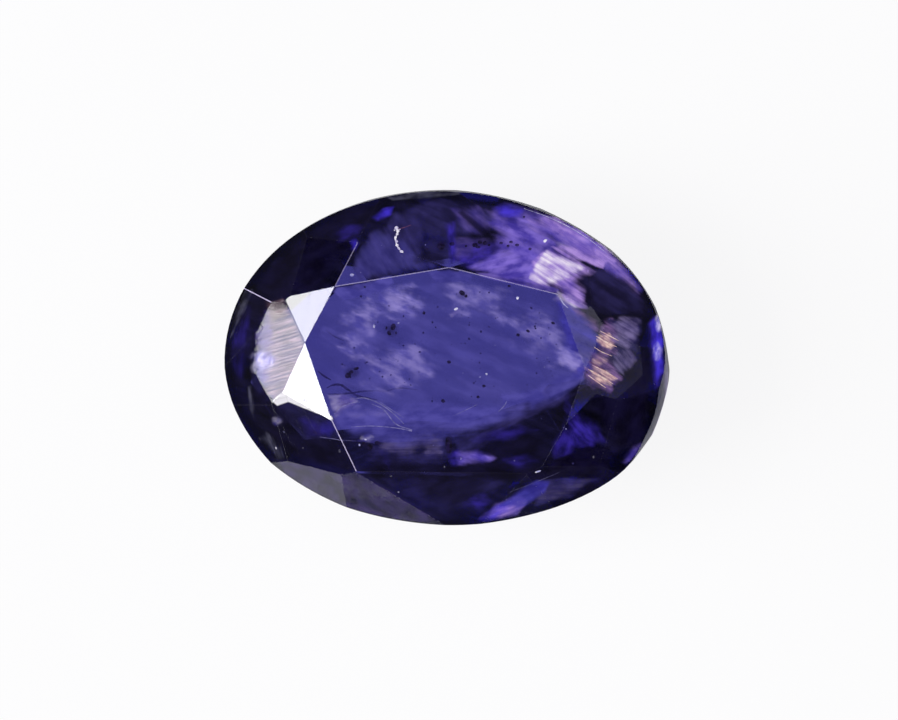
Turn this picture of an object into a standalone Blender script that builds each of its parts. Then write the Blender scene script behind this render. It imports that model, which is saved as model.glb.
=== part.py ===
"""A faceted iolite in an oval mixed cut.

The crown has a flat table, six star facets, eight mains and seventeen break facets above a narrow girdle.
The base has three tiers of facets and a large flat culet, which the stone stands on.

The stone is cut as a lapidary cuts it: an oval blank, taller than the stone, meets one flat after another.
Each flat is given by its azimuth, its slope from the girdle plane and one point that it passes through.
Azimuths run anticlockwise, in degrees, seen from above, with 0 at the right end of the long axis.
Sizes are in millimetres in the tables below, and the finished mesh is in metres.
"""

import math
from typing import NamedTuple

import bmesh
import bpy
from mathutils import Vector

METRES_PER_MM = 0.001

# Driving sizes of the whole stone
LENGTH = 12.0
WIDTH = 9.0
GIRDLE_THICKNESS = 0.42
CROWN_HEIGHT = 1.5
PAVILION_DEPTH = 2.9

# Heights over the middle of the girdle
GIRDLE_TOP = GIRDLE_THICKNESS / 2
GIRDLE_BOTTOM = -GIRDLE_THICKNESS / 2
TABLE_HEIGHT = GIRDLE_TOP + CROWN_HEIGHT
CULET_HEIGHT = GIRDLE_BOTTOM - PAVILION_DEPTH

# The facets are laid out round an ellipse, a little three-cornered, with a shoulder at the lower right
CORNER_COUNT = 3
CORNER_SHARE = 0.010
CORNER_AZIMUTH = 92.0
SHOULDER_BULGE = 0.05
SHOULDER_AZIMUTH = 330.0
SHOULDER_SPREAD = 14.0

# The girdle follows that outline, turned a little, with swellings of its own
OUTLINE_SIDES = 128
GIRDLE_TURN = 1.3

# Its side leans in at the lower right, by this share of its height
LEAN_SHARE = 0.30
LEAN_AZIMUTH = 349.0
LEAN_SPREAD = 12.0

# The blank is a little taller than the stone, so that the table and the culet are cut too
BLANK_MARGIN = 0.5

# Points nearer than this are one point
WELD_DISTANCE = 0.0005

# A face whose normal rises or falls less than this belongs to the round girdle
GIRDLE_RISE = 0.35

# Polished iolite
IOLITE_COLOUR = (0.13, 0.10, 0.42, 1.0)
IOLITE_ROUGHNESS = 0.03
IOLITE_IOR = 1.545

# Where the mains and stars meet on the table, named by the hour on a clock face
TABLE_CORNERS = {
    "12:00": (0.13, 2.64),
    "10:30": (-2.91, 1.96),
    "9:00": (-3.64, 0.41),
    "7:30": (-2.82, -1.65),
    "6:00": (-2.11, -2.96),
    "4:30": (3.45, -1.38),
    "3:00": (3.90, 0.11),
    "1:30": (3.07, 2.09),
}

# Axes of the ellipses that the pavilion tiers touch, as shares of the stone's half length and half width
BREAK_TIER_SHARE = (0.998, 0.998)
MIDDLE_TIER_SHARE = (0.90, 0.88)
INNER_TIER_SHARE = (0.62, 0.55)

# How far under the girdle the middle and inner tiers touch their ellipses
MIDDLE_TIER_DROP = 0.75
INNER_TIER_DROP = 2.0

BREAK_TIER_SLOPE = 61.0
INNER_TIER_SLOPE = 30.0

# The inner tier sits off centre, up and to the left, and its lower right was never cut
INNER_TIER_SHIFT = (-0.20, 0.35)
INNER_TIER_CUT = 5


class Swelling(NamedTuple):
    """A place where the girdle stands out from the laid-out outline, or falls short of it where rise is negative."""

    azimuth: float
    rise: float
    spread: float


class Main(NamedTuple):
    """A large crown facet that touches the table at a corner."""

    corner: str
    azimuth: float
    slope: float


class Star(NamedTuple):
    """A crown facet that shares an edge of the table between two corners."""

    first: str
    second: str
    slope: float


class Break(NamedTuple):
    """An upper girdle facet, by the place where it meets the outline at the given height."""

    azimuth: float
    slope: float
    reach_azimuth: float
    reach_height: float = GIRDLE_TOP


class Step(NamedTuple):
    """A facet of the pavilion's middle tier, with how much deeper than its neighbours it was cut."""

    slope: float
    deeper: float = 0.0


SWELLINGS = (
    Swelling(5.0, -0.07, 15.0),
    Swelling(30.0, 0.02, 8.0),
    Swelling(147.0, 0.035, 24.0),
    Swelling(188.0, 0.03, 14.0),
    Swelling(302.0, -0.035, 18.0),
    Swelling(334.0, 0.02, 8.0),
)

MAINS = (
    Main("12:00", 92.0, 37.5),
    Main("10:30", 126.0, 36.5),
    Main("9:00", 185.0, 33.0),
    Main("7:30", 208.5, 26.5),
    Main("6:00", 272.6, 42.5),
    Main("4:30", 333.5, 32.0),
    Main("3:00", 2.0, 33.0),
    Main("1:30", 48.0, 35.0),
)

STARS = (
    Star("12:00", "10:30", 25.0),
    Star("10:30", "9:00", 18.5),
    Star("9:00", "7:30", 23.5),
    Star("4:30", "3:00", 21.0),
    Star("3:00", "1:30", 20.0),
    Star("1:30", "12:00", 24.0),
)

# Two to each main, one on each side of it, and a third beside the nine o'clock main
BREAKS = (
    Break(82.0, 48.0, 72.0),
    Break(99.0, 42.5, 108.0),
    Break(113.0, 48.0, 120.0),
    Break(141.0, 47.0, 147.0),
    Break(174.0, 45.0, 174.0, -0.06),
    Break(183.0, 39.5, 183.0, 0.0),
    Break(192.5, 40.0, 190.0, 0.0),
    Break(204.0, 41.0, 206.0),
    Break(245.3, 54.0, 234.2),
    Break(262.9, 51.0, 269.7),
    Break(287.0, 51.0, 289.0),
    Break(298.0, 50.0, 306.0),
    Break(338.0, 43.0, 338.0, 0.13),
    Break(351.0, 39.0, 352.0),
    Break(4.0, 44.0, 8.0),
    Break(32.0, 50.0, 33.0),
    Break(64.0, 52.0, 58.0),
)

# The middle tier, anticlockwise from the right end.
# It steepens towards the bottom, and the last three facets were cut deeper.
MIDDLE_TIER = (
    Step(44.0),
    Step(44.0),
    Step(45.0),
    Step(44.0),
    Step(44.0),
    Step(44.0),
    Step(44.0),
    Step(45.0),
    Step(46.0),
    Step(47.0, 0.08),
    Step(44.0, 0.09),
    Step(43.0, 0.08),
)

BREAK_TIER_COUNT = 16
INNER_TIER_COUNT = 8


class Flat(NamedTuple):
    """A plane to cut to: everything on the side that its normal points to is ground away."""

    point: Vector
    normal: Vector


def nearness(azimuth: float, middle: float, spread: float, power: int = 2) -> float:
    """Returns 1 at the middle azimuth, falling smoothly to 0 past the spread. A higher power falls later."""
    past = (azimuth - middle + 180) % 360 - 180
    return math.exp(-((past / spread) ** power))


def outline_radius(azimuth: float) -> float:
    """Returns how far the outline that the facets are laid out round is from the middle, in that direction."""
    angle = math.radians(azimuth)
    along = math.cos(angle) / (LENGTH / 2)
    across = math.sin(angle) / (WIDTH / 2)
    ellipse = 1 / math.hypot(along, across)
    corners = 1 + CORNER_SHARE * math.cos(CORNER_COUNT * math.radians(azimuth - CORNER_AZIMUTH))
    return ellipse * corners + SHOULDER_BULGE * nearness(azimuth, SHOULDER_AZIMUTH, SHOULDER_SPREAD)


def outline_point(azimuth: float, height: float) -> Vector:
    """Returns the point of the laid-out outline in that direction, at that height."""
    angle = math.radians(azimuth)
    radius = outline_radius(azimuth)
    return Vector((radius * math.cos(angle), radius * math.sin(angle), height))


def girdle_point(azimuth: float, height: float) -> Vector:
    """Returns the point of the girdle's side in that direction, at that height."""
    angle = math.radians(azimuth)
    radius = outline_radius(azimuth - GIRDLE_TURN)
    radius += sum(swelling.rise * nearness(azimuth, swelling.azimuth, swelling.spread) for swelling in SWELLINGS)
    lean = LEAN_SHARE * nearness(azimuth, LEAN_AZIMUTH, LEAN_SPREAD, power=4)
    radius -= lean * (height - GIRDLE_BOTTOM)
    return Vector((radius * math.cos(angle), radius * math.sin(angle), height))


def table_corner(name: str) -> Vector:
    """Returns a corner of the table as a point in space."""
    return Vector((*TABLE_CORNERS[name], TABLE_HEIGHT))


def facing(azimuth: float, slope: float, up: bool) -> Vector:
    """Returns the outward normal of a facet of the crown, or of the pavilion where up is false."""
    turn = math.radians(azimuth)
    lean = math.radians(slope)
    rise = math.cos(lean) if up else -math.cos(lean)
    return Vector((math.sin(lean) * math.cos(turn), math.sin(lean) * math.sin(turn), rise))


def azimuth_of_edge(first: Vector, second: Vector) -> float:
    """Returns the direction that an edge of the table faces, away from the stone's middle."""
    edge = second - first
    outward = Vector((edge.y, -edge.x, 0.0))
    middle = (first + second) / 2
    if outward.x * middle.x + outward.y * middle.y < 0:
        outward = -outward
    return math.degrees(math.atan2(outward.y, outward.x))


def crown_flats() -> list[Flat]:
    """Returns the flats above the girdle, table first."""
    flats = [Flat(Vector((0.0, 0.0, TABLE_HEIGHT)), Vector((0.0, 0.0, 1.0)))]
    for main in MAINS:
        flats.append(Flat(table_corner(main.corner), facing(main.azimuth, main.slope, up=True)))
    for star in STARS:
        first = table_corner(star.first)
        azimuth = azimuth_of_edge(first, table_corner(star.second))
        flats.append(Flat(first, facing(azimuth, star.slope, up=True)))
    for facet in BREAKS:
        reach = outline_point(facet.reach_azimuth, facet.reach_height)
        flats.append(Flat(reach, facing(facet.azimuth, facet.slope, up=True)))
    return flats


def tier_flat(share, turn: float, slope: float, height: float, shift=(0.0, 0.0), deeper=0.0) -> Flat:
    """Returns one facet of a pavilion tier, which touches an ellipse at the given height.

    The ellipse has the given shares of the stone's half length and half width.
    Turn is the ellipse's parameter, in degrees.
    """
    half_length = share[0] * LENGTH / 2
    half_width = share[1] * WIDTH / 2
    along = math.cos(math.radians(turn))
    across = math.sin(math.radians(turn))
    point = Vector((half_length * along + shift[0], half_width * across + shift[1], height))
    azimuth = math.degrees(math.atan2(across / half_width, along / half_length))
    normal = facing(azimuth, slope, up=False)
    return Flat(point - normal * deeper, normal)


def pavilion_flats() -> list[Flat]:
    """Returns the flats below the girdle, culet last."""
    flats = []
    for index in range(BREAK_TIER_COUNT):
        turn = (index + 0.5) * 360 / BREAK_TIER_COUNT
        flats.append(tier_flat(BREAK_TIER_SHARE, turn, BREAK_TIER_SLOPE, GIRDLE_BOTTOM))
    for index, step in enumerate(MIDDLE_TIER):
        turn = index * 360 / len(MIDDLE_TIER)
        height = GIRDLE_BOTTOM - MIDDLE_TIER_DROP
        flats.append(tier_flat(MIDDLE_TIER_SHARE, turn, step.slope, height, deeper=step.deeper))
    for index in range(INNER_TIER_CUT):
        turn = (index + 0.5) * 360 / INNER_TIER_COUNT
        height = GIRDLE_BOTTOM - INNER_TIER_DROP
        flats.append(tier_flat(INNER_TIER_SHARE, turn, INNER_TIER_SLOPE, height, INNER_TIER_SHIFT))
    flats.append(Flat(Vector((0.0, 0.0, CULET_HEIGHT)), Vector((0.0, 0.0, -1.0))))
    return flats


def oval_blank() -> bmesh.types.BMesh:
    """Returns an upright oval prism, a little taller than the stone."""
    blank = bmesh.new()
    bmesh.ops.create_cone(
        blank, cap_ends=True, segments=OUTLINE_SIDES, radius1=1.0, radius2=1.0, depth=2.0
    )
    for vertex in blank.verts:
        azimuth = math.degrees(math.atan2(vertex.co.y, vertex.co.x))
        top = vertex.co.z > 0
        height = TABLE_HEIGHT + BLANK_MARGIN if top else CULET_HEIGHT - BLANK_MARGIN
        vertex.co = girdle_point(azimuth, height)
    return blank


def grind(stone: bmesh.types.BMesh, flat: Flat) -> None:
    """Cuts the stone to a flat and closes the cut with one face."""
    cut = bmesh.ops.bisect_plane(
        stone,
        geom=stone.verts[:] + stone.edges[:] + stone.faces[:],
        dist=WELD_DISTANCE,
        plane_co=flat.point,
        plane_no=flat.normal,
        clear_outer=True,
    )
    rim = [item for item in cut["geom_cut"] if isinstance(item, bmesh.types.BMEdge)]
    open_rim = [edge for edge in rim if edge.is_boundary]
    if open_rim:
        bmesh.ops.contextual_create(stone, geom=open_rim)


def stand_on_culet(stone: bmesh.types.BMesh) -> None:
    """Moves the stone so that its culet is on the ground plane and its box is centred over the origin."""
    xs = [vertex.co.x for vertex in stone.verts]
    ys = [vertex.co.y for vertex in stone.verts]
    foot = Vector(((min(xs) + max(xs)) / 2, (min(ys) + max(ys)) / 2, CULET_HEIGHT))
    bmesh.ops.translate(stone, verts=stone.verts, vec=-foot)


def shade_girdle_round(stone: bmesh.types.BMesh) -> None:
    """Shades the narrow sides of the girdle as one round band, and leaves every facet flat."""
    for face in stone.faces:
        face.smooth = abs(face.normal.z) < GIRDLE_RISE


def iolite_finish() -> bpy.types.Material:
    """Returns a clear violet-blue material for polished iolite."""
    material = bpy.data.materials.new("iolite")
    material.use_nodes = True
    shader = material.node_tree.nodes["Principled BSDF"]
    shader.inputs["Base Color"].default_value = IOLITE_COLOUR
    shader.inputs["Metallic"].default_value = 0.0
    shader.inputs["Roughness"].default_value = IOLITE_ROUGHNESS
    shader.inputs["IOR"].default_value = IOLITE_IOR
    shader.inputs["Transmission Weight"].default_value = 1.0
    return material


def clear_scene() -> None:
    """Removes every object that the scene starts with."""
    for scene_object in list(bpy.data.objects):
        bpy.data.objects.remove(scene_object, do_unlink=True)


def build_stone() -> bpy.types.Object:
    """Cuts the stone and returns it as an object in its own collection."""
    stone = oval_blank()
    for flat in crown_flats() + pavilion_flats():
        grind(stone, flat)
    bmesh.ops.remove_doubles(stone, verts=stone.verts, dist=WELD_DISTANCE)
    bmesh.ops.recalc_face_normals(stone, faces=stone.faces)
    shade_girdle_round(stone)
    stand_on_culet(stone)
    bmesh.ops.scale(stone, verts=stone.verts, vec=Vector((METRES_PER_MM,) * 3))
    mesh = bpy.data.meshes.new("iolite_stone")
    stone.to_mesh(mesh)
    stone.free()
    mesh.materials.append(iolite_finish())
    node = bpy.data.objects.new("iolite_stone", mesh)
    collection = bpy.data.collections.new("iolite_gemstone")
    bpy.context.scene.collection.children.link(collection)
    collection.objects.link(node)
    return node


clear_scene()
build_stone()
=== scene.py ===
"""Looks of a faceted oval iolite: its polish, its colour, what grew inside it, and a plain pale studio.

The stone is see-through violet-blue. Its look from above comes from flat facets that mirror one soft light at the
left, from the violet window under the table, from inclusions and polishing lines of a natural stone, and from sheets
and grains inside it that glow with set colours: painted light, painted highlights, painted reflections and painted
shade.

Lengths are in metres in Blender. Sizes whose names end in _MM or _mm are in millimetres.
"""

import logging
import math
import random
from dataclasses import dataclass
from enum import Enum
from typing import Any, ClassVar

import bmesh
import bpy
from mathutils import Matrix, Vector, geometry, noise
from mathutils.bvhtree import BVHTree


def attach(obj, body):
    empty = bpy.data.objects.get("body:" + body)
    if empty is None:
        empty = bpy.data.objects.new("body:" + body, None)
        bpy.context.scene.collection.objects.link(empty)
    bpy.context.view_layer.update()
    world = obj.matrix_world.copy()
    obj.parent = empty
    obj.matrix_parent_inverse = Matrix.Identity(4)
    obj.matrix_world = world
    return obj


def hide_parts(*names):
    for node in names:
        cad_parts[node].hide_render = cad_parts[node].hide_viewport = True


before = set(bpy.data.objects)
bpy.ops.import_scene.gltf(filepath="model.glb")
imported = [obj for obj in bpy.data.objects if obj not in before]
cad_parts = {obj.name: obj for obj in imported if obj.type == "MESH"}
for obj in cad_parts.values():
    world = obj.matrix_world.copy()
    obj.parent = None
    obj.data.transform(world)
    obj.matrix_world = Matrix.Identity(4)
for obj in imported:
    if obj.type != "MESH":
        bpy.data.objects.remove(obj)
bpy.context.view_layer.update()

log = logging.getLogger("iolite")

MM = 0.001
STONE_NODE = "iolite_stone"
BODY = "root"

IOLITE_IOR = 1.545

# How often light may cross a surface of the stone, and how often it may be mirrored
CROSSINGS = 24
MIRRORINGS = 20

# The curve by which pictures store light: its straight part, and the power of the rest
CURVE_KNEE = 0.04045
CURVE_SLOPE = 12.92
CURVE_OFFSET = 0.055
CURVE_POWER = 2.4

Colour = tuple[float, float, float]
Pixel = tuple[float, float]


def seen(red: float, green: float, blue: float) -> Colour:
    """Returns the linear colour that a picture shows as these values from 0 to 255.

    Args:
        red: The red value.
        green: The green value.
        blue: The blue value.

    Returns:
        The linear colour.
    """
    return tuple(
        share / CURVE_SLOPE if share <= CURVE_KNEE else ((share + CURVE_OFFSET) / (1 + CURVE_OFFSET)) ** CURVE_POWER
        for share in (value / 255 for value in (red, green, blue))
    )


class Facing(Enum):
    """The parts of a cut stone that are finished differently. The value is the material's place on the mesh."""

    TABLE = 0
    CROWN = 1
    GIRDLE = 2
    PAVILION = 3
    JUNCTION = 4
    WORN = 5
    DULL = 6


class Wire:
    """One socket of a shader graph, which adds Math nodes when it is used in arithmetic."""

    def __init__(self, graph: "Graph", socket: bpy.types.NodeSocket) -> None:
        """Keeps the socket and the graph that it is in.

        Args:
            graph: The graph that new nodes go to.
            socket: An output socket of a node in that graph.
        """
        self.graph = graph
        self.socket = socket

    def _math(self, operation: str, *values: Any) -> "Wire":
        """Returns the result of one Math node."""
        return self.graph.node("ShaderNodeMath", {"operation": operation}, dict(enumerate(values)))

    def __add__(self, other: Any) -> "Wire":
        """Returns self + other."""
        return self._math("ADD", self, other)

    __radd__ = __add__

    def __sub__(self, other: Any) -> "Wire":
        """Returns self - other."""
        return self._math("SUBTRACT", self, other)

    def __rsub__(self, other: Any) -> "Wire":
        """Returns other - self."""
        return self._math("SUBTRACT", other, self)

    def __mul__(self, other: Any) -> "Wire":
        """Returns self * other."""
        return self._math("MULTIPLY", self, other)

    __rmul__ = __mul__

    def ramp(self, low: float, high: float, start: float = 0.0, end: float = 1.0) -> "Wire":
        """Returns a smooth step of this value.

        Args:
            low: The value at which the step starts.
            high: The value at which the step ends.
            start: The result at and before low.
            end: The result at and after high.

        Returns:
            The stepped value.
        """
        inputs = {"Value": self, "From Min": low, "From Max": high, "To Min": start, "To Max": end}
        return self.graph.node("ShaderNodeMapRange", {"interpolation_type": "SMOOTHSTEP"}, inputs)


class Graph:
    """The node tree of one material or of the world."""

    def __init__(self, tree: bpy.types.NodeTree) -> None:
        """Takes over a node tree and empties it.

        Args:
            tree: The node tree to build in.
        """
        self.tree = tree
        tree.nodes.clear()

    def node(self, kind: str, settings: dict[str, Any], inputs: dict[Any, Any], output: Any = 0) -> Wire:
        """Adds a node and returns one of its outputs.

        Args:
            kind: The node's type, such as ShaderNodeMath.
            settings: Properties of the node, which are set before its sockets.
            inputs: Values or wires, by the name or the index of their socket.
            output: The name or the index of the output that is returned.

        Returns:
            The wire of that output.
        """
        made = self.tree.nodes.new(kind)
        for name, value in settings.items():
            setattr(made, name, value)
        for key, value in inputs.items():
            if isinstance(value, Wire):
                self.tree.links.new(value.socket, made.inputs[key])
            else:
                made.inputs[key].default_value = value
        return Wire(self, made.outputs[output])

    def vector(self, operation: str, *values: Any, **named: Any) -> Wire:
        """Adds one Vector Math node, through which all vectors go.

        Args:
            operation: The node's operation.
            values: Values or wires of its first sockets, in order.
            named: Values or wires by the name of their socket, such as Scale.

        Returns:
            The vector result.
        """
        inputs = {**dict(enumerate(values)), **named}
        return self.node("ShaderNodeVectorMath", {"operation": operation}, inputs)

    def blend(self, share: Any, first: Any, second: Any) -> Wire:
        """Returns a colour between two colours.

        Args:
            share: How much of the second colour shows, from 0 to 1.
            first: The colour, or its wire, at share 0.
            second: The colour, or its wire, at share 1.

        Returns:
            The wire of the mixed colour.
        """
        colours = [value if isinstance(value, Wire) else (*value, 1.0) for value in (first, second)]
        inputs = {0: share, 6: colours[0], 7: colours[1]}
        return self.node("ShaderNodeMix", {"data_type": "RGBA"}, inputs, output=2)

    def attribute(self, name: str, output: str = "Fac") -> Wire:
        """Returns a value that the mesh carries under that name."""
        return self.node("ShaderNodeAttribute", {"attribute_name": name}, {}, output)

    def noise(self, vector: Wire, scale: float, detail: float = 2.0, output: str = "Fac") -> Wire:
        """Adds a noise texture.

        Args:
            vector: The place that it is read at.
            scale: How fine it is.
            detail: How many finer layers it has.
            output: Fac for a value or Color for three at once.

        Returns:
            The wire of that output.
        """
        inputs = {"Vector": vector, "Scale": scale, "Detail": detail}
        return self.node("ShaderNodeTexNoise", {"noise_dimensions": "3D"}, inputs, output)

    def position(self) -> Wire:
        """Returns the point's place in the object, in millimetres."""
        place = self.node("ShaderNodeTexCoord", {}, {}, "Object")
        return self.vector("SCALE", place, Scale=1 / MM)

    def glow(self, colour: Wire, strength: float, alpha: Any, roughness: float) -> Wire:
        """Adds a black surface without a mirror that glows with a set colour: painted light that no lamp gives.

        Args:
            colour: The colour of that light.
            strength: How strong it is.
            alpha: How much the surface hides, as a value or a wire.
            roughness: Its roughness.

        Returns:
            The shader.
        """
        inputs = {
            "Base Color": (0.0, 0.0, 0.0, 1.0),
            "Roughness": roughness,
            "Specular IOR Level": 0.0,
            "Alpha": alpha,
            # The painted light: a set colour given off whatever the lamps do
            "Emission Color": colour,
            "Emission Strength": strength,
        }
        return self.node("ShaderNodeBsdfPrincipled", {}, inputs)

    def finish(self, kind: str, **wires: Wire) -> None:
        """Adds the output node of the material or of the world.

        Args:
            kind: The node's type.
            wires: What its sockets get, by their names.
        """
        made = self.tree.nodes.new(kind)
        for name, wire in wires.items():
            self.tree.links.new(wire.socket, made.inputs[name])

    def surface(self, shader: Wire, **volume: Wire) -> None:
        """Makes this shader the material's surface, and Volume, if it is given, what fills it."""
        self.finish("ShaderNodeOutputMaterial", Surface=shader, **volume)


def new_material(name: str) -> tuple[bpy.types.Material, Graph]:
    """Makes an empty material.

    Args:
        name: The material's name.

    Returns:
        The material and the graph of its nodes.
    """
    material = bpy.data.materials.new(name)
    material.use_nodes = True
    return material, Graph(material.node_tree)


def link_object(name: str, data: bpy.types.ID) -> bpy.types.Object:
    """Makes an object and shows it in the scene.

    Args:
        name: The object's name.
        data: Its mesh, light or camera.

    Returns:
        The object.
    """
    made = bpy.data.objects.new(name, data)
    bpy.context.scene.collection.objects.link(made)
    return made


def mesh_object(name: str, body: bmesh.types.BMesh, *materials: bpy.types.Material) -> bpy.types.Object:
    """Makes an object of a mesh in metres.

    Args:
        name: The name of the object and of its mesh.
        body: The mesh, which is used up.
        materials: Its finishes, in the order of its faces' material numbers.

    Returns:
        The object.
    """
    mesh = bpy.data.meshes.new(name)
    body.to_mesh(mesh)
    body.free()
    for material in materials:
        mesh.materials.append(material)
    return link_object(name, mesh)


@dataclass(frozen=True)
class IolitePolish:
    """How one part of the stone is polished.

    Attributes:
        name: The material's name.
        roughness: The roughness between polishing lines.
        line_roughness: What the lines add to the roughness.
        line_depth: How far the lines turn the surface, as a share of a right angle's slope.
        lines_per_mm: How closely the lines lie.
        swell: How far a facet bulges, as turn per metre from its centre.
        tint_depth: How strongly the colour varies over the surface.
    """

    name: str
    roughness: float
    line_roughness: float
    line_depth: float
    lines_per_mm: float
    swell: float
    tint_depth: float

    # How much light the crystal takes per metre, and how far over the strongest of the three the density is set
    ABSORPTION: ClassVar[Colour] = (560.0, 580.0, 230.0)
    DENSITY_ROOM: ClassVar[float] = 1.04

    # The extra gloss of single facets, and how much of it the lines take away
    COAT_IOR: ClassVar[float] = 2.3
    COAT_ROUGHNESS: ClassVar[float] = 0.06
    COAT_LOST: ClassVar[float] = 0.5

    # The lines' length against their width, how far apart two facets' patterns are, and where a line starts
    LINE_STRETCH: ClassVar[float] = 0.35
    PATTERN_SPREAD: ClassVar[float] = 53.0
    LINE_DETAIL: ClassVar[float] = 3.0
    LINE_RAMP: ClassVar[tuple[float, float]] = (0.52, 0.78)
    NO_TURN: ClassVar[Colour] = (0.5, 0.5, 0.5)

    # The soft growth bands: how they stretch, how fine and sharp they are, and how little blue they take
    BAND_STRETCH: ClassVar[Colour] = (0.28, 0.85, 0.85)
    BAND_SCALE: ClassVar[float] = 1.3
    BAND_DETAIL: ClassVar[float] = 4.0
    BAND_RAMP: ClassVar[tuple[float, float]] = (0.36, 0.66)
    BLUE_SHARE: ClassVar[float] = 0.45

    # A surface that has lost its mirror
    BARE_ROUGHNESS: ClassVar[float] = 0.1

    def material(self) -> bpy.types.Material:
        """Makes the material.

        Returns:
            A clear material with polishing lines on its surface and violet-blue absorption inside.
        """
        material, graph = new_material(self.name)
        graph.surface(self._shader(graph), Volume=self._absorption(graph))
        return material

    def _grooves(self, graph: Graph) -> Wire:
        """Finds the pattern of the polishing lines.

        Args:
            graph: The material's graph.

        Returns:
            Where in its facet's own pattern a point lies.
        """
        lap = graph.node("ShaderNodeUVMap", {"uv_map": "lap"}, {})
        stretched = graph.vector("MULTIPLY", lap, (self.lines_per_mm, self.LINE_STRETCH, 0.0))
        own = graph.node("ShaderNodeCombineXYZ", {}, {"Z": graph.attribute("facet") * self.PATTERN_SPREAD})
        return graph.vector("ADD", stretched, own)

    def _shader(self, graph: Graph) -> Wire:
        """Makes the surface.

        Args:
            graph: The material's graph.

        Returns:
            The clear surface with its polishing lines.
        """
        grooves = self._grooves(graph)
        lines = graph.noise(grooves, 1.0, self.LINE_DETAIL).ramp(*self.LINE_RAMP)
        inputs = {
            "Base Color": self._tint(graph),
            "Roughness": lines * self.line_roughness + self.roughness,
            "IOR": IOLITE_IOR,
            "Transmission Weight": 1.0,
            "Normal": self._normal(graph, graph.noise(grooves, 1.0, self.LINE_DETAIL, "Color")),
            "Coat Weight": graph.attribute("gloss") * (1 - lines * self.COAT_LOST),
            "Coat Roughness": self.COAT_ROUGHNESS,
            "Coat IOR": self.COAT_IOR,
        }
        return graph.node("ShaderNodeBsdfPrincipled", {}, inputs)

    def _normal(self, graph: Graph, turned: Wire) -> Wire:
        """Turns the surface by its lines and by the facet's slight bulge.

        Args:
            graph: The material's graph.
            turned: Which way the lines turn it, as three values round one half.

        Returns:
            The surface's direction.
        """
        flat = graph.node("ShaderNodeNewGeometry", {}, {}, "Normal")
        place = graph.node("ShaderNodeTexCoord", {}, {}, "Object")
        outwards = graph.vector("SUBTRACT", place, graph.attribute("centre", "Vector"))
        bulge = graph.vector("SCALE", outwards, Scale=self.swell)
        ripple = graph.vector("SUBTRACT", turned, self.NO_TURN)
        ripple = graph.vector("SCALE", ripple, Scale=self.line_depth)
        return graph.vector("NORMALIZE", graph.vector("ADD", flat, graph.vector("ADD", bulge, ripple)))

    def _tint(self, graph: Graph) -> Wire:
        """Tints the surface.

        Args:
            graph: The material's graph.

        Returns:
            The tint, with the soft bands of a crystal that grew unevenly.
        """
        banded = graph.vector("MULTIPLY", graph.position(), self.BAND_STRETCH)
        bands = graph.noise(banded, self.BAND_SCALE, self.BAND_DETAIL).ramp(*self.BAND_RAMP)
        dim = tuple(1.0 - share * self.tint_depth for share in (1.0, 1.0, self.BLUE_SHARE))
        return graph.blend(bands, dim, (1.0, 1.0, 1.0))

    def _absorption(self, graph: Graph) -> Wire:
        """Fills the stone.

        Args:
            graph: The material's graph.

        Returns:
            The volume that gives the stone its colour.
        """
        density = self.DENSITY_ROOM * max(self.ABSORPTION)
        colour = tuple(1 - amount / density for amount in self.ABSORPTION)
        return graph.node("ShaderNodeVolumeAbsorption", {}, {"Color": (*colour, 1.0), "Density": density})

    def _bared(self, graph: Graph, kept: Wire, clear: Wire) -> Wire:
        """Takes the mirror off a surface in places.

        Args:
            graph: The material's graph.
            kept: How much of the mirror is left.
            clear: The surface with its whole mirror.

        Returns:
            The surface that is left.
        """
        bare = graph.node("ShaderNodeBsdfRefraction", {}, {"Roughness": self.BARE_ROUGHNESS, "IOR": IOLITE_IOR})
        return graph.node("ShaderNodeMixShader", {}, {0: kept, 1: bare, 2: clear})


@dataclass(frozen=True)
class FrostedPolish(IolitePolish):
    """A facet junction that wear has frosted in places, so that light falling on it shows as a thin pale line."""

    FROST: ClassVar[Colour] = (0.74, 0.66, 0.95)
    FROST_ROUGHNESS: ClassVar[float] = 0.55
    GRAIN_PER_MM: ClassVar[float] = 14.0
    GRAIN_DETAIL: ClassVar[float] = 3.0
    GRAIN_RAMP: ClassVar[tuple[float, ...]] = (0.25, 0.60, 0.55, 1.0)

    def _shader(self, graph: Graph) -> Wire:
        """Makes the surface.

        Args:
            graph: The material's graph.

        Returns:
            The clear surface, frosted where the mesh says so.
        """
        clear = IolitePolish._shader(self, graph)
        grain = graph.noise(graph.position(), self.GRAIN_PER_MM, self.GRAIN_DETAIL).ramp(*self.GRAIN_RAMP)
        inputs = {"Base Color": (*self.FROST, 1.0), "Roughness": self.FROST_ROUGHNESS}
        frost = graph.node("ShaderNodeBsdfPrincipled", {}, inputs)
        return graph.node("ShaderNodeMixShader", {}, {0: graph.attribute("wear") * grain, 1: clear, 2: frost})


@dataclass(frozen=True)
class WornPolish(IolitePolish):
    """A facet whose polish is worn away along its rim, where it no longer mirrors."""

    TOP_MM: ClassVar[tuple[float, float]] = (0.98, 1.52)
    LEFT_MM: ClassVar[tuple[float, float]] = (-5.25, -4.80)
    UNEVEN_MM: ClassVar[float] = 0.5
    UNEVEN_PER_MM: ClassVar[float] = 2.6
    UNEVEN_DETAIL: ClassVar[float] = 3.0

    def _shader(self, graph: Graph) -> Wire:
        """Makes the surface.

        Args:
            graph: The material's graph.

        Returns:
            The clear surface, without its mirror where it is worn.
        """
        clear = IolitePolish._shader(self, graph)
        place = graph.position()
        uneven = (graph.noise(place, self.UNEVEN_PER_MM, self.UNEVEN_DETAIL) - 0.5) * self.UNEVEN_MM
        across, along = (graph.node("ShaderNodeSeparateXYZ", {}, {0: place}, axis) for axis in "XY")
        kept = (across + uneven).ramp(*self.LEFT_MM) * (1 - (along + uneven).ramp(*self.TOP_MM))
        return self._bared(graph, kept, clear)


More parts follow.
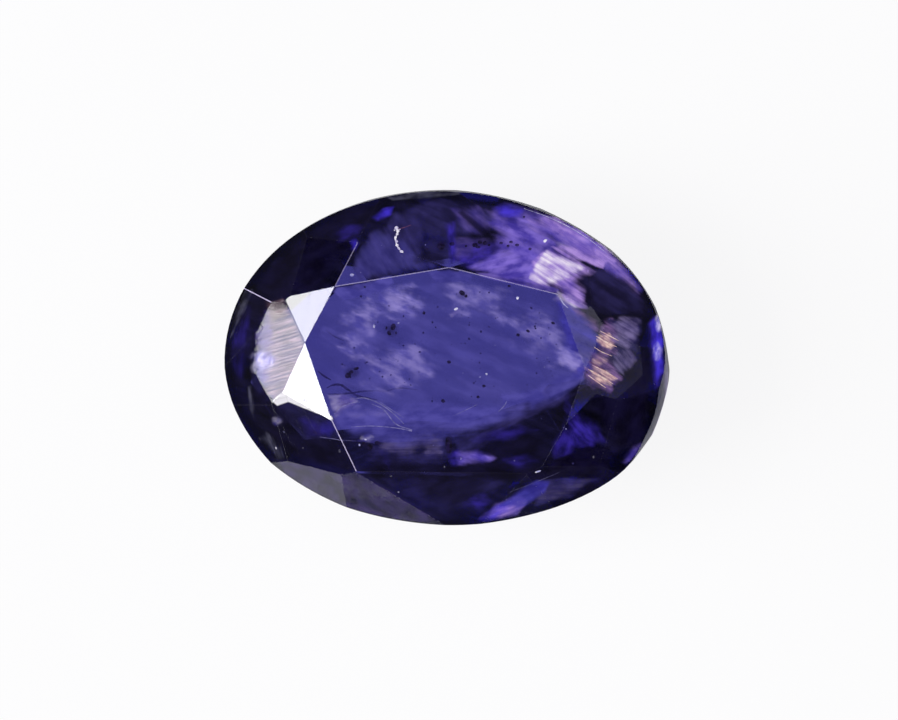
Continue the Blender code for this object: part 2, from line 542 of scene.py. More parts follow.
@dataclass(frozen=True)
class DullPolish(IolitePolish):
    """A facet whose polish has gone dull in soft clouds, where it mirrors less."""

    CLOUDS_PER_MM: ClassVar[float] = 0.9
    CLOUD_DETAIL: ClassVar[float] = 3.0
    CLOUD_RAMP: ClassVar[tuple[float, ...]] = (0.30, 0.60, 0.6, 1.0)

    def _shader(self, graph: Graph) -> Wire:
        """Makes the surface.

        Args:
            graph: The material's graph.

        Returns:
            The clear surface, with less of its mirror where it is dull.
        """
        clear = IolitePolish._shader(self, graph)
        clouds = graph.noise(graph.position(), self.CLOUDS_PER_MM, self.CLOUD_DETAIL).ramp(*self.CLOUD_RAMP)
        return self._bared(graph, 1 - graph.attribute("wear") * clouds, clear)


POLISH = {
    Facing.TABLE: IolitePolish("iolite_table", 0.03, 0.08, 0.010, 11.0, 2.0, 0.22),
    Facing.CROWN: IolitePolish("iolite_crown", 0.05, 0.10, 0.014, 16.0, 6.0, 0.06),
    Facing.GIRDLE: IolitePolish("iolite_girdle", 0.45, 0.20, 0.060, 9.0, 0.0, 0.05),
    Facing.PAVILION: IolitePolish("iolite_pavilion", 0.08, 0.10, 0.020, 12.0, 5.0, 0.16),
    Facing.JUNCTION: FrostedPolish("iolite_junction", 0.22, 0.10, 0.050, 20.0, 0.0, 0.0),
    Facing.WORN: WornPolish("iolite_worn_facet", 0.06, 0.12, 0.012, 13.0, 4.0, 0.06),
    Facing.DULL: DullPolish("iolite_dull_facet", 0.06, 0.12, 0.014, 14.0, 5.0, 0.06),
}


@dataclass(frozen=True)
class Sight:
    """The camera's place over the stone, found from the photograph.

    Attributes:
        tilt_right: How far the view leans to the stone's right, in degrees.
        tilt_up: How far it leans towards twelve o'clock.
        roll: How far the stone is turned in the picture, clockwise.
        lens: The focal length in millimetres.
        sensor: The width of the camera's sensor in millimetres.
        pixels_per_mm: The scale at the stone's girdle.
        picture: The picture's width and height in pixels.
        girdle_centre_mm: Where the middle of the girdle lies in the frame.
        aim_px: The pixel at which it shows.
        clip: How near and how far the camera sees, in metres.
    """

    tilt_right: float = 6.0
    tilt_up: float = 6.0
    roll: float = 2.7
    lens: float = 400.0
    sensor: float = 36.0
    pixels_per_mm: float = 37.25
    picture: tuple[int, int] = (898, 720)
    girdle_centre_mm: tuple[float, float, float] = (0.0208, -0.0444, 3.11)
    aim_px: Pixel = (446.7, 359.35)
    clip: tuple[float, float] = (0.005, 3.0)

    def axes(self) -> tuple[Vector, Vector, Vector]:
        """Returns the picture's right and up directions and the direction from the stone to the camera."""
        back = Vector((math.tan(math.radians(self.tilt_right)), math.tan(math.radians(self.tilt_up)), 1.0))
        back.normalize()
        level = Vector((0.0, 1.0, 0.0)).cross(back).normalized()
        rise = back.cross(level)
        turn = math.radians(self.roll)
        right = level * math.cos(turn) + rise * math.sin(turn)
        up = rise * math.cos(turn) - level * math.sin(turn)
        return right, up, back

    def point(self, x: float, y: float) -> Vector:
        """Finds the point of the girdle's picture plane that shows at a pixel.

        Args:
            x: The pixel's column.
            y: The pixel's row.

        Returns:
            The point in metres.
        """
        right, up, _ = self.axes()
        middle = Vector(self.girdle_centre_mm)
        across = (x - self.aim_px[0]) / self.pixels_per_mm
        down = (y - self.aim_px[1]) / self.pixels_per_mm
        return (middle + right * across - up * down) * MM

    def ray(self, x: float, y: float) -> tuple[Vector, Vector]:
        """Returns where a pixel's line of sight starts, in millimetres, and its direction."""
        start = self.place() / MM
        return start, (self.point(x, y) / MM - start).normalized()

    def pixel(self, place: Vector) -> Pixel:
        """Finds the pixel at which a place shows, if nothing bends the light.

        Args:
            place: The place in millimetres.

        Returns:
            The pixel.
        """
        right, up, _ = self.axes()
        offset = place - Vector(self.girdle_centre_mm)
        across = self.aim_px[0] + self.pixels_per_mm * offset.dot(right)
        return across, self.aim_px[1] - self.pixels_per_mm * offset.dot(up)

    def place(self) -> Vector:
        """Returns the camera's place in metres."""
        width = self.picture[0] / self.pixels_per_mm * MM
        middle = self.point(self.picture[0] / 2, self.picture[1] / 2)
        return middle + self.axes()[2] * (width * self.lens / self.sensor)

    def camera(self) -> None:
        """Makes the camera and makes it the scene's own."""
        data = bpy.data.cameras.new("studio_camera")
        data.lens = self.lens
        data.sensor_width = self.sensor
        data.clip_start, data.clip_end = self.clip
        camera = link_object("studio_camera", data)
        right, up, back = self.axes()
        camera.matrix_world = matrix_of(right, up, back, self.place())
        bpy.context.scene.camera = camera


def matrix_of(x: Vector, y: Vector, z: Vector, place: Vector) -> Matrix:
    """Works out how an object stands.

    Args:
        x: Where its first axis points.
        y: Where its second axis points.
        z: Where its third axis points.
        place: Where its origin lies.

    Returns:
        The object's matrix.
    """
    turned = Matrix((x, y, z)).transposed().to_4x4()
    turned.translation = place
    return turned


class Stone:
    """The stone itself, with every facet junction rounded off as polishing leaves it."""

    JUNCTION_WIDTH_MM = 0.012
    FROSTED_WIDTH_MM = 0.026
    LEAST_JUNCTION_ANGLE = math.radians(7.0)

    # Faces that differ by less than this angle are one facet, and points closer than this are one point
    FLAT_ANGLE = 0.002
    WELD_MM = 0.0004

    # How far up a level facet's direction points at least, and an upright one's at most
    LEVEL = 0.9999
    UPRIGHT = 0.35

    # How near a facet has to be to a listed azimuth and slope, in degrees
    NEAR_AZIMUTH = 5
    NEAR_SLOPE = 3
    NEAR_NINE = 4

    # Facets that stand out for their gloss, by azimuth and slope in degrees, and how glossy they are
    GLOSSY = ((202.3, 23.5, 1.0), (155.0, 18.5, 0.58))

    # Facets that have lost some of their mirror, by azimuth and slope in degrees, and how much of it
    DULL = (
        (245.3, 54.0, 0.20),
        (262.9, 51.0, 0.70),
        (298.0, 50.0, 0.45),
        (338.0, 43.0, 0.60),
        (333.5, 32.0, 0.60),
        (126.0, 36.5, 0.60),
    )

    # The nine o'clock main is the worn one, and its lines run this way, in degrees
    NINE_AZIMUTH = 185.0
    NINE_SLOPE = 33.0
    NINE_LAP = 19.0

    # Which way the lines run on the table, and how that turns from one other facet to the next
    TABLE_LAP = -24.0
    FIRST_LAP = 40.0
    LAP_TURN = 7.3
    LEAST_ALONG = 0.2

    # Junctions that wear has frosted, from one pixel of the photograph to another, and how much
    FROSTED = (
        ((335.6, 287.0), (449.0, 268.3), 0.42),
        ((449.0, 268.3), (557.0, 294.7), 0.42),
        ((333.0, 421.0), (356.7, 470.5), 0.75),
        ((335.6, 287.0), (359.0, 242.0), 0.35),
        ((244.7, 288.8), (271.2, 302.0), 0.95),
    )
    FROSTED_NEAR_PX = 5.0
    LEAST_WEAR = 0.02
    SEED = 5

    def __init__(self, node: bpy.types.Object, sight: Sight) -> None:
        """Takes the shape from the frame.

        Args:
            node: The stone's own node in the frame.
            sight: The view in which the frosted junctions are listed.
        """
        self.node = node
        self.sight = sight
        self.solid = self._solid()

    def _solid(self) -> bmesh.types.BMesh:
        """Returns the stone in millimetres, with one face for each facet."""
        solid = bmesh.new()
        solid.from_mesh(self.node.data)
        bmesh.ops.scale(solid, verts=solid.verts, vec=Vector((1 / MM,) * 3))
        bmesh.ops.remove_doubles(solid, verts=solid.verts, dist=self.WELD_MM)
        bmesh.ops.dissolve_limit(
            solid, angle_limit=self.FLAT_ANGLE, verts=solid.verts, edges=solid.edges, delimit=set()
        )
        solid.normal_update()
        return solid

    def tree(self) -> BVHTree:
        """Returns a search tree over the stone's surface, in millimetres."""
        return BVHTree.FromBMesh(self.solid)

    def _rounding_flats(self) -> list[tuple[Vector, Vector]]:
        """Returns the point and normal of one narrow flat for each sharp junction of facets."""
        flats = []
        for edge in self.solid.edges:
            if len(edge.link_faces) != 2:
                continue
            first, second = (face.normal for face in edge.link_faces)
            angle = first.angle(second)
            if angle < self.LEAST_JUNCTION_ANGLE:
                continue
            if abs(first.z) < self.UPRIGHT and abs(second.z) < self.UPRIGHT:
                continue
            normal = (first + second).normalized()
            middle = (edge.verts[0].co + edge.verts[1].co) / 2
            frosted = self._wear(middle) > self.LEAST_WEAR
            width = self.FROSTED_WIDTH_MM if frosted else self.JUNCTION_WIDTH_MM
            depth = width / 2 * math.tan(angle / 2)
            flats.append((middle - normal * depth, normal))
        return flats

    def _azimuth(self, face: bmesh.types.BMFace) -> float:
        """Returns which way a facet faces round the stone, in degrees."""
        return math.degrees(math.atan2(face.normal.y, face.normal.x)) % 360

    def _is(self, face: bmesh.types.BMFace, azimuth: float, slope: float) -> bool:
        """Looks whether a facet is the listed one.

        Args:
            face: The facet.
            azimuth: The listed azimuth in degrees.
            slope: The listed slope in degrees.

        Returns:
            Whether it has them, or nearly.
        """
        its_slope = math.degrees(math.acos(max(-1.0, min(1.0, face.normal.z))))
        return abs(self._azimuth(face) - azimuth) < self.NEAR_AZIMUTH and abs(its_slope - slope) < self.NEAR_SLOPE

    def _facing(self, face: bmesh.types.BMFace) -> Facing:
        """Finds which part of the stone a facet belongs to.

        Args:
            face: The facet.

        Returns:
            The part.
        """
        if self._is(face, self.NINE_AZIMUTH, self.NINE_SLOPE):
            return Facing.WORN
        if self._dullness(face):
            return Facing.DULL
        if face.normal.z > self.LEVEL:
            return Facing.TABLE
        if abs(face.normal.z) < self.UPRIGHT:
            return Facing.GIRDLE
        return Facing.CROWN if face.normal.z > 0 else Facing.PAVILION

    def _round_off(self, body: bmesh.types.BMesh) -> None:
        """Cuts the narrow flats and marks them as junctions.

        Args:
            body: The stone in millimetres.
        """
        for point, normal in self._rounding_flats():
            cut = bmesh.ops.bisect_plane(
                body,
                geom=body.verts[:] + body.edges[:] + body.faces[:],
                dist=self.WELD_MM / 4,
                plane_co=point,
                plane_no=normal,
                clear_outer=True,
            )
            rim = [item for item in cut["geom_cut"] if isinstance(item, bmesh.types.BMEdge)]
            rim = [edge for edge in rim if edge.is_boundary]
            if len(rim) > 2:
                made = bmesh.ops.contextual_create(body, geom=rim)
                for face in made["faces"]:
                    face.material_index = Facing.JUNCTION.value

    def _lap_direction(self, face: bmesh.types.BMFace) -> Vector:
        """Finds how the polishing lines of a facet run.

        Args:
            face: The facet.

        Returns:
            Their direction in the facet.
        """
        azimuth = self._azimuth(face)
        if face.normal.z > self.LEVEL:
            turn = self.TABLE_LAP
        elif face.normal.z > 0 and abs(azimuth - self.NINE_AZIMUTH) < self.NEAR_NINE:
            turn = self.NINE_LAP
        else:
            turn = (azimuth * self.LAP_TURN + self.FIRST_LAP) % 180
        along = Vector((math.cos(math.radians(turn)), math.sin(math.radians(turn)), 0.0))
        along -= face.normal * along.dot(face.normal)
        if along.length < self.LEAST_ALONG:
            along = face.normal.orthogonal()
        return along.normalized()

    def _gloss(self, face: bmesh.types.BMFace) -> float:
        """Returns how much extra gloss a facet has."""
        return next((gloss for azimuth, slope, gloss in self.GLOSSY if self._is(face, azimuth, slope)), 0.0)

    def _dullness(self, face: bmesh.types.BMFace) -> float:
        """Returns how much of its mirror a facet has lost."""
        return next((lost for azimuth, slope, lost in self.DULL if self._is(face, azimuth, slope)), 0.0)

    def _wear(self, middle: Vector) -> float:
        """Finds how frosted a junction is.

        Args:
            middle: The middle of the junction in millimetres.

        Returns:
            Its frost, from 0 to 1.
        """
        place = Vector((*self.sight.pixel(middle), 0.0))
        for start, end, wear in self.FROSTED:
            nearest, share = geometry.intersect_point_line(place, Vector((*start, 0)), Vector((*end, 0)))
            if 0 < share < 1 and (place - nearest).length < self.FROSTED_NEAR_PX:
                return wear
        return self.LEAST_WEAR

    def _mark(self, body: bmesh.types.BMesh) -> None:
        """Gives each facet its material, its polishing direction, its centre, its wear and a number of its own.

        Args:
            body: The stone in millimetres.
        """
        lap = body.loops.layers.uv.new("lap")
        centre = body.loops.layers.float_vector.new("centre")
        number, gloss, worn = (body.loops.layers.float.new(name) for name in ("facet", "gloss", "wear"))
        draw = random.Random(self.SEED)
        for face in body.faces:
            if face.material_index != Facing.JUNCTION.value:
                face.material_index = self._facing(face).value
            face.smooth = abs(face.normal.z) < self.UPRIGHT
            middle = face.calc_center_median_weighted()
            along = self._lap_direction(face)
            across = face.normal.cross(along)
            own = draw.random()
            shine = self._gloss(face)
            wear = self._wear(middle) if face.material_index == Facing.JUNCTION.value else self._dullness(face)
            for corner in face.loops:
                offset = corner.vert.co - middle
                corner[lap].uv = (offset.dot(across), offset.dot(along))
                corner[centre] = middle * MM
                corner[number] = own
                corner[gloss] = shine
                corner[worn] = wear

    def build(self) -> bpy.types.Object:
        """Makes the visible stone, which stands for the frame's node.

        Returns:
            The stone's object.
        """
        body = self.solid.copy()
        self._round_off(body)
        bmesh.ops.remove_doubles(body, verts=body.verts, dist=self.WELD_MM)
        body.normal_update()
        self._mark(body)
        bmesh.ops.scale(body, verts=body.verts, vec=Vector((MM,) * 3))
        stone = mesh_object("iolite_polished", body, *(POLISH[facing].material() for facing in Facing))
        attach(stone, BODY)
        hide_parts(STONE_NODE)
        return stone


class Depths:
    """Finds places inside the stone that show at chosen pixels of the photograph, through the facet that lies there."""

    LEAST_CLEARANCE = 0.25
    STEP_MM = 0.001

    def __init__(self, stone: Stone, sight: Sight) -> None:
        """Keeps the view and a search tree over the stone.

        Args:
            stone: The stone.
            sight: The view.
        """
        self.sight = sight
        self.tree = stone.tree()

    def surface(self, x: float, y: float) -> tuple[Vector, Vector] | None:
        """Returns the place of the surface that shows at a pixel and the direction of the light behind it.

        Args:
            x: The pixel's column.
            y: The pixel's row.

        Returns:
            The place in millimetres and the bent line of sight, or None beside the stone.
        """
        start, towards = self.sight.ray(x, y)
        place, normal, _, _ = self.tree.ray_cast(start, towards)
        if place is None:
            return None
        cosine = -towards.dot(normal)
        bent = math.sqrt(1 - (1 - cosine * cosine) / IOLITE_IOR**2)
        return place, (towards / IOLITE_IOR + normal * (cosine / IOLITE_IOR - bent)).normalized()

    def place(self, x: float, y: float, depth: float) -> Vector | None:
        """Returns the place behind a pixel at this depth along the line of sight, kept well inside the stone.

        Args:
            x: The pixel's column.
            y: The pixel's row.
            depth: The depth in millimetres.

        Returns:
            The place in millimetres, or None beside the stone.
        """
        found = self.surface(x, y)
        if found is None:
            return None
        entry, towards = found
        far = self.tree.ray_cast(entry + towards * self.STEP_MM, towards)[0]
        room = (far - entry).length if far else 0.0
        return entry + towards * min(depth, room * (1 - self.LEAST_CLEARANCE))


def piece(name: str, body: bmesh.types.BMesh, material: bpy.types.Material) -> bpy.types.Object:
    """Makes one piece inside the stone of a mesh in millimetres.

    Args:
        name: The piece's name.
        body: The mesh, which is used up.
        material: Its finish.

    Returns:
        The piece, riding with the stone.
    """
    bmesh.ops.scale(body, verts=body.verts, vec=Vector((MM,) * 3))
    body.normal_update()
    made = mesh_object(name, body, material)
    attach(made, BODY)
    return made


@dataclass(frozen=True)
class PaintedVeilFinish:
    """A veil-shaped sheet that glows with set colours, which paint light where pale and shade where dark.

    Attributes:
        name: The material's name.
        deep: The darker colour.
        pale: The lighter colour.
        opacity: How much the veil hides at its thickest.
        streak: How much its threads part, from 0, an even haze, to 1, separate threads.
        streaks_per_mm: How closely the threads lie.
        cloud_scale: How fine its clouds are.
        ragged: How uneven its edge is.
    """

    name: str
    deep: Colour
    pale: Colour
    opacity: float = 0.9
    streak: float = 0.0
    streaks_per_mm: float = 8.0
    cloud_scale: float = 1.6
    ragged: float = 0.9

    # Threads: their width against their length, how fine and sharp they are, and their share in tone and edge
    THREAD_STRETCH: ClassVar[float] = 0.45
    THREAD_DETAIL: ClassVar[float] = 3.0
    THREAD_RAMP: ClassVar[tuple[float, float]] = (0.38, 0.62)
    THREAD_SHARE: ClassVar[float] = 0.6

    # Clouds, which thin a veil out, and tones, which turn it from its darker to its lighter colour
    WISP_STRETCH: ClassVar[float] = 0.5
    CLOUD_DETAIL: ClassVar[float] = 5.0
    CLOUD_RAMP: ClassVar[tuple[float, float]] = (0.30, 0.70)
    TONE_SCALE: ClassVar[float] = 1.8
    TONE_SHIFT: ClassVar[Colour] = (7.0, 3.0, 0.0)
    TONE_DETAIL: ClassVar[float] = 4.0
    TONE_RAMP: ClassVar[tuple[float, float]] = (0.32, 0.66)

    # How a sheet fades in from its outline, whatever its clouds do there
    EDGE_RAMP: ClassVar[tuple[float, float]] = (0.05, 0.95)
    RIM_RAMP: ClassVar[tuple[float, float]] = (0.0, 0.30)
    ROUGHNESS: ClassVar[float] = 0.8

    def material(self) -> bpy.types.Material:
        """Makes the material.

        Returns:
            A soft glow with clouds and threads, clear where the mesh's own share says so.
        """
        material, graph = new_material(self.name)
        silk = graph.node("ShaderNodeUVMap", {"uv_map": "silk"}, {})
        drawn = graph.vector("MULTIPLY", silk, (self.streaks_per_mm, self.THREAD_STRETCH, 0.0))
        threads = graph.noise(drawn, 1.0, self.THREAD_DETAIL).ramp(*self.THREAD_RAMP)
        wispy = graph.vector("MULTIPLY", silk, (self.cloud_scale, self.cloud_scale * self.WISP_STRETCH, 0.0))
        clouds = graph.noise(wispy, 1.0, self.CLOUD_DETAIL).ramp(*self.CLOUD_RAMP)
        beside = graph.vector("ADD", graph.vector("SCALE", wispy, Scale=self.TONE_SCALE), self.TONE_SHIFT)
        tones = graph.noise(beside, 1.0, self.TONE_DETAIL).ramp(*self.TONE_RAMP)
        share = graph.attribute("share")
        drawn_share = self.THREAD_SHARE * self.streak
        uneven = (clouds - 0.5) * self.ragged + (threads - 0.5) * drawn_share
        edge = (share + uneven).ramp(*self.EDGE_RAMP) * share.ramp(*self.RIM_RAMP)
        cover = graph.attribute("strength") * edge * ((1 - self.streak) + threads * self.streak)
        light = graph.blend(tones * (1 - drawn_share) + threads * drawn_share, self.deep, self.pale)
        graph.surface(graph.glow(light, 1.0, cover * self.opacity, self.ROUGHNESS))
        return material


@dataclass(frozen=True)
class Patch:
    """One sheet of a painted veil, outlined on the photograph.

    Attributes:
        outline: The pixels round it, clockwise in the picture, where it bulges everywhere.
        soft: Over how many pixels it fades in from its outline.
        lean: The direction of its threads in the picture, in degrees anticlockwise from the right.
        depth: How deep it lies, in millimetres.
        strength: How much of the finish's opacity it has.
        step: How far apart its mesh points lie, in pixels.
    """

    outline: tuple[Pixel, ...]
    soft: float = 12.0
    lean: float = -28.0
    depth: float = 0.18
    strength: float = 1.0
    step: float = 2.0

    def share(self, x: float, y: float) -> float:
        """Finds how far inside the outline a pixel is.

        Args:
            x: The pixel's column.
            y: The pixel's row.

        Returns:
            The distance as a share of the soft rim, from 0 to 1.
        """
        least = 1.0
        for index, (x0, y0) in enumerate(self.outline):
            x1, y1 = self.outline[(index + 1) % len(self.outline)]
            length = math.hypot(x1 - x0, y1 - y0)
            inwards = ((x1 - x0) * (y - y0) - (y1 - y0) * (x - x0)) / length
            least = min(least, max(0.0, inwards / self.soft))
        return least

    def add(self, body: bmesh.types.BMesh, depths: Depths) -> None:
        """Adds the sheet to a mesh.

        Args:
            body: The mesh, in millimetres.
            depths: Where its points lie in the stone.
        """
        silk = body.loops.layers.uv["silk"]
        share = body.loops.layers.float["share"]
        strength = body.loops.layers.float["strength"]
        turn = math.radians(self.lean)
        columns, rows = zip(*self.outline)
        left, top = min(columns), min(rows)
        across = int((max(columns) - left) / self.step) + 1
        down = int((max(rows) - top) / self.step) + 1
        grid: dict[tuple[int, int], tuple[bmesh.types.BMVert, float, Pixel]] = {}
        for i in range(across + 1):
            for j in range(down + 1):
                x, y = left + i * self.step, top + j * self.step
                place = depths.place(x, y, self.depth)
                if place is not None:
                    along = (x * math.cos(turn) - y * math.sin(turn)) / depths.sight.pixels_per_mm
                    beside = (x * math.sin(turn) + y * math.cos(turn)) / depths.sight.pixels_per_mm
                    grid[i, j] = (body.verts.new(place), self.share(x, y), (beside, along))
        for i in range(across):
            for j in range(down):
                corners = [grid.get(key) for key in ((i, j), (i, j + 1), (i + 1, j + 1), (i + 1, j))]
                if None in corners or not any(corner[1] for corner in corners):
                    continue
                face = body.faces.new([corner[0] for corner in corners])
                face.smooth = True
                for loop, (_, its_share, its_silk) in zip(face.loops, corners):
                    loop[silk].uv = its_silk
                    loop[share] = its_share
                    loop[strength] = self.strength


@dataclass(frozen=True)
class PaintedVeil:
    """A set of sheets with one finish, which paint light where pale and shade where dark.

    Attributes:
        name: The piece's name.
        finish: Its finish.
        patches: Its sheets.
    """

    name: str
    finish: PaintedVeilFinish
    patches: tuple[Patch, ...]

    def build(self, depths: Depths) -> bpy.types.Object:
        """Makes the veil.

        Args:
            depths: Where its points lie in the stone.

        Returns:
            The piece.
        """
        body = bmesh.new()
        body.loops.layers.uv.new("silk")
        body.loops.layers.float.new("share")
        body.loops.layers.float.new("strength")
        for patch in self.patches:
            patch.add(body, depths)
        loose = [vert for vert in body.verts if not vert.link_faces]
        bmesh.ops.delete(body, geom=loose, context="VERTS")
        return piece(self.name, body, self.finish.material())


@dataclass(frozen=True)
class GrainFinish:
    """A crystal or crack that grew in the stone, or a painted highlight, as a surface glowing with set colours.

    Attributes:
        name: The material's name.
        deep: The darker colour.
        pale: The lighter colour.
        glow: How strongly it glows: painted light in place of the studio's light that it would scatter.
        roughness: Its roughness.
        opacity: How much it hides.
    """

    name: str
    deep: Colour
    pale: Colour
    glow: float = 0.0
    roughness: float = 0.4
    opacity: float = 1.0

    GRAIN_PER_MM: ClassVar[float] = 9.0
    GRAIN_DETAIL: ClassVar[float] = 3.0
    GRAIN_RAMP: ClassVar[tuple[float, float]] = (0.35, 0.65)

    def material(self) -> bpy.types.Material:
        """Makes the material.

        Returns:
            A mottled surface that glows with set colours: painted light in place of the light it would scatter.
        """
        material, graph = new_material(self.name)
        mottle = graph.noise(graph.position(), self.GRAIN_PER_MM, self.GRAIN_DETAIL).ramp(*self.GRAIN_RAMP)
        light = graph.blend(mottle, self.deep, self.pale)
        graph.surface(graph.glow(light, self.glow, self.opacity, self.roughness))
        return material


@dataclass(frozen=True)
class Grain:
    """One small crystal, placed on the photograph.

    Attributes:
        pixel: Where it shows.
        depth: How deep it lies, in millimetres.
        size: Its half-lengths in pixels, across, up and in depth.
        turn: How far it is turned in the picture, in degrees anticlockwise.
    """

    pixel: Pixel
    depth: float
    size: tuple[float, float, float]
    turn: float = 0.0

    ROUGHEN: ClassVar[float] = 0.30
    ROUND: ClassVar[float] = 2.0

    def add(self, body: bmesh.types.BMesh, depths: Depths, fineness: int = 2) -> None:
        """Adds the crystal to a mesh, as an uneven rounded lump.

        Args:
            body: The mesh, in millimetres.
            depths: Where it lies in the stone.
            fineness: How often its faces are divided.
        """
        middle = depths.place(*self.pixel, self.depth)
        if middle is None:
            return
        right, up, back = depths.sight.axes()
        turn = math.radians(self.turn)
        axes = (right * math.cos(turn) + up * math.sin(turn), up * math.cos(turn) - right * math.sin(turn), back)
        made = bmesh.ops.create_icosphere(body, subdivisions=fineness, radius=1.0)
        for vert in made["verts"]:
            bump = 1 + self.ROUGHEN * noise.noise(vert.co * self.ROUND + Vector((*self.pixel, 0.0)))
            parts = (axis * (share * half) for axis, share, half in zip(axes, vert.co * bump, self.size))
            vert.co = middle + sum(parts, Vector()) / depths.sight.pixels_per_mm


def grains(*rows: tuple[float, ...]) -> tuple[Grain, ...]:
    """Makes a list of crystals.

    Args:
        rows: Each one's column, row, depth, half-lengths across, up and in depth, and its turn if it has one.

    Returns:
        The crystals.
    """
    return tuple(
        Grain((x, y), depth, (wide, high, thick), *turn) for x, y, depth, wide, high, thick, *turn in rows
    )


@dataclass(frozen=True)
class Hair:
    """A thread-like crystal, tube or crack, or a thin painted highlight, drawn on the photograph.

    Attributes:
        pixels: The points it passes.
        width: Its width in pixels at each end and in the middle.
        depth: How deep it lies, in millimetres.
    """

    pixels: tuple[Pixel, ...]
    width: tuple[float, float, float] = (0.3, 0.9, 0.3)
    depth: float = 0.5

    SIDES: ClassVar[int] = 6
    STEPS: ClassVar[int] = 7
    UNEVEN: ClassVar[float] = 0.35
    UNEVEN_PER_MM: ClassVar[float] = 14.0

    def _course(self) -> list[tuple[float, float]]:
        """Returns the pixels of a smooth line through the points."""
        points = [Vector(pixel) for pixel in self.pixels]
        points = [2 * points[0] - points[1], *points, 2 * points[-1] - points[-2]]
        course = []
        for before, start, end, after in zip(points, points[1:], points[2:], points[3:]):
            for step in range(self.STEPS):
                t = step / self.STEPS
                bend = (2 * before - 5 * start + 4 * end - after) * t**2 + (3 * start - before - 3 * end + after) * t**3
                course.append(tuple(start + ((end - before) * t + bend) / 2))
        return [*course, self.pixels[-1]]

    def add(self, body: bmesh.types.BMesh, depths: Depths) -> None:
        """Adds the thread to a mesh as a thin closed tube.

        Args:
            body: The mesh, in millimetres.
            depths: Where it lies in the stone.
        """
        places = [place for place in (depths.place(x, y, self.depth) for x, y in self._course()) if place]
        if len(places) < 3:
            return
        right, up, back = depths.sight.axes()
        rings = []
        for index, place in enumerate(places):
            share = index / (len(places) - 1)
            ends = self.width[0] * (1 - share) + self.width[2] * share
            width = ends + (self.width[1] - ends) * math.sin(math.pi * share)
            width *= 1 + self.UNEVEN * noise.noise(place * self.UNEVEN_PER_MM)
            along = (places[min(index + 1, len(places) - 1)] - places[max(index - 1, 0)]).normalized()
            beside = along.cross(back).normalized()
            radius = width / 2 / depths.sight.pixels_per_mm
            turns = (2 * math.pi * side / self.SIDES for side in range(self.SIDES))
            rings.append([body.verts.new(place + (beside * math.cos(t) + back * math.sin(t)) * radius) for t in turns])
        for first, second in zip(rings, rings[1:]):
            for side in range(self.SIDES):
                after = (side + 1) % self.SIDES
                body.faces.new((first[side], first[after], second[after], second[side])).smooth = True
        body.faces.new(rings[0][::-1])
        body.faces.new(rings[-1])


@dataclass(frozen=True)
class Growth:
    """A set of crystals, threads or painted highlights with one finish.

    Attributes:
        name: The piece's name.
        finish: Its finish.
        parts: Its crystals and threads.
    """

    name: str
    finish: GrainFinish
    parts: tuple[Grain | Hair, ...]

    def build(self, depths: Depths) -> bpy.types.Object:
        """Makes the set.

        Args:
            depths: Where its parts lie in the stone.

        Returns:
            The piece.
        """
        body = bmesh.new()
        for part in self.parts:
            part.add(body, depths)
        return piece(self.name, body, self.finish.material())


@dataclass(frozen=True)
class Pinpoints:
    """The many tiny crystals scattered under the table.

    Attributes:
        name: The piece's name.
        finish: Its finish.
        count: How many there are.
        middle: The pixel they lie round.
        spread: How far they lie from it, in pixels, to either side and up or down.
        size: The smallest and largest half-length in pixels.
        seed: The start of the random draw.
    """

    name: str
    finish: GrainFinish
    count: int
    middle: Pixel = (452.0, 352.0)
    spread: Pixel = (112.0, 66.0)
    size: tuple[float, float] = (0.45, 1.15)
    seed: int = 3

    DEPTH_MM: ClassVar[tuple[float, float]] = (0.04, 0.16)
    LENGTH: ClassVar[tuple[float, float]] = (0.8, 1.5)

    def build(self, depths: Depths) -> bpy.types.Object:
        """Makes the crystals.

        Args:
            depths: Where they lie in the stone.

        Returns:
            The piece.
        """
        draw = random.Random(self.seed)
        body = bmesh.new()
        for _ in range(self.count):
            away, turn = math.sqrt(draw.random()), draw.uniform(0, 2 * math.pi)
            x = self.middle[0] + self.spread[0] * away * math.cos(turn)
            y = self.middle[1] + self.spread[1] * away * math.sin(turn)
            half = self.size[0] + (self.size[1] - self.size[0]) * draw.random() ** 2
            depth = draw.uniform(*self.DEPTH_MM)
            size = (half * draw.uniform(*self.LENGTH), half, half)
            Grain((x, y), depth, size, math.degrees(turn)).add(body, depths, fineness=1)
        return piece(self.name, body, self.finish.material())
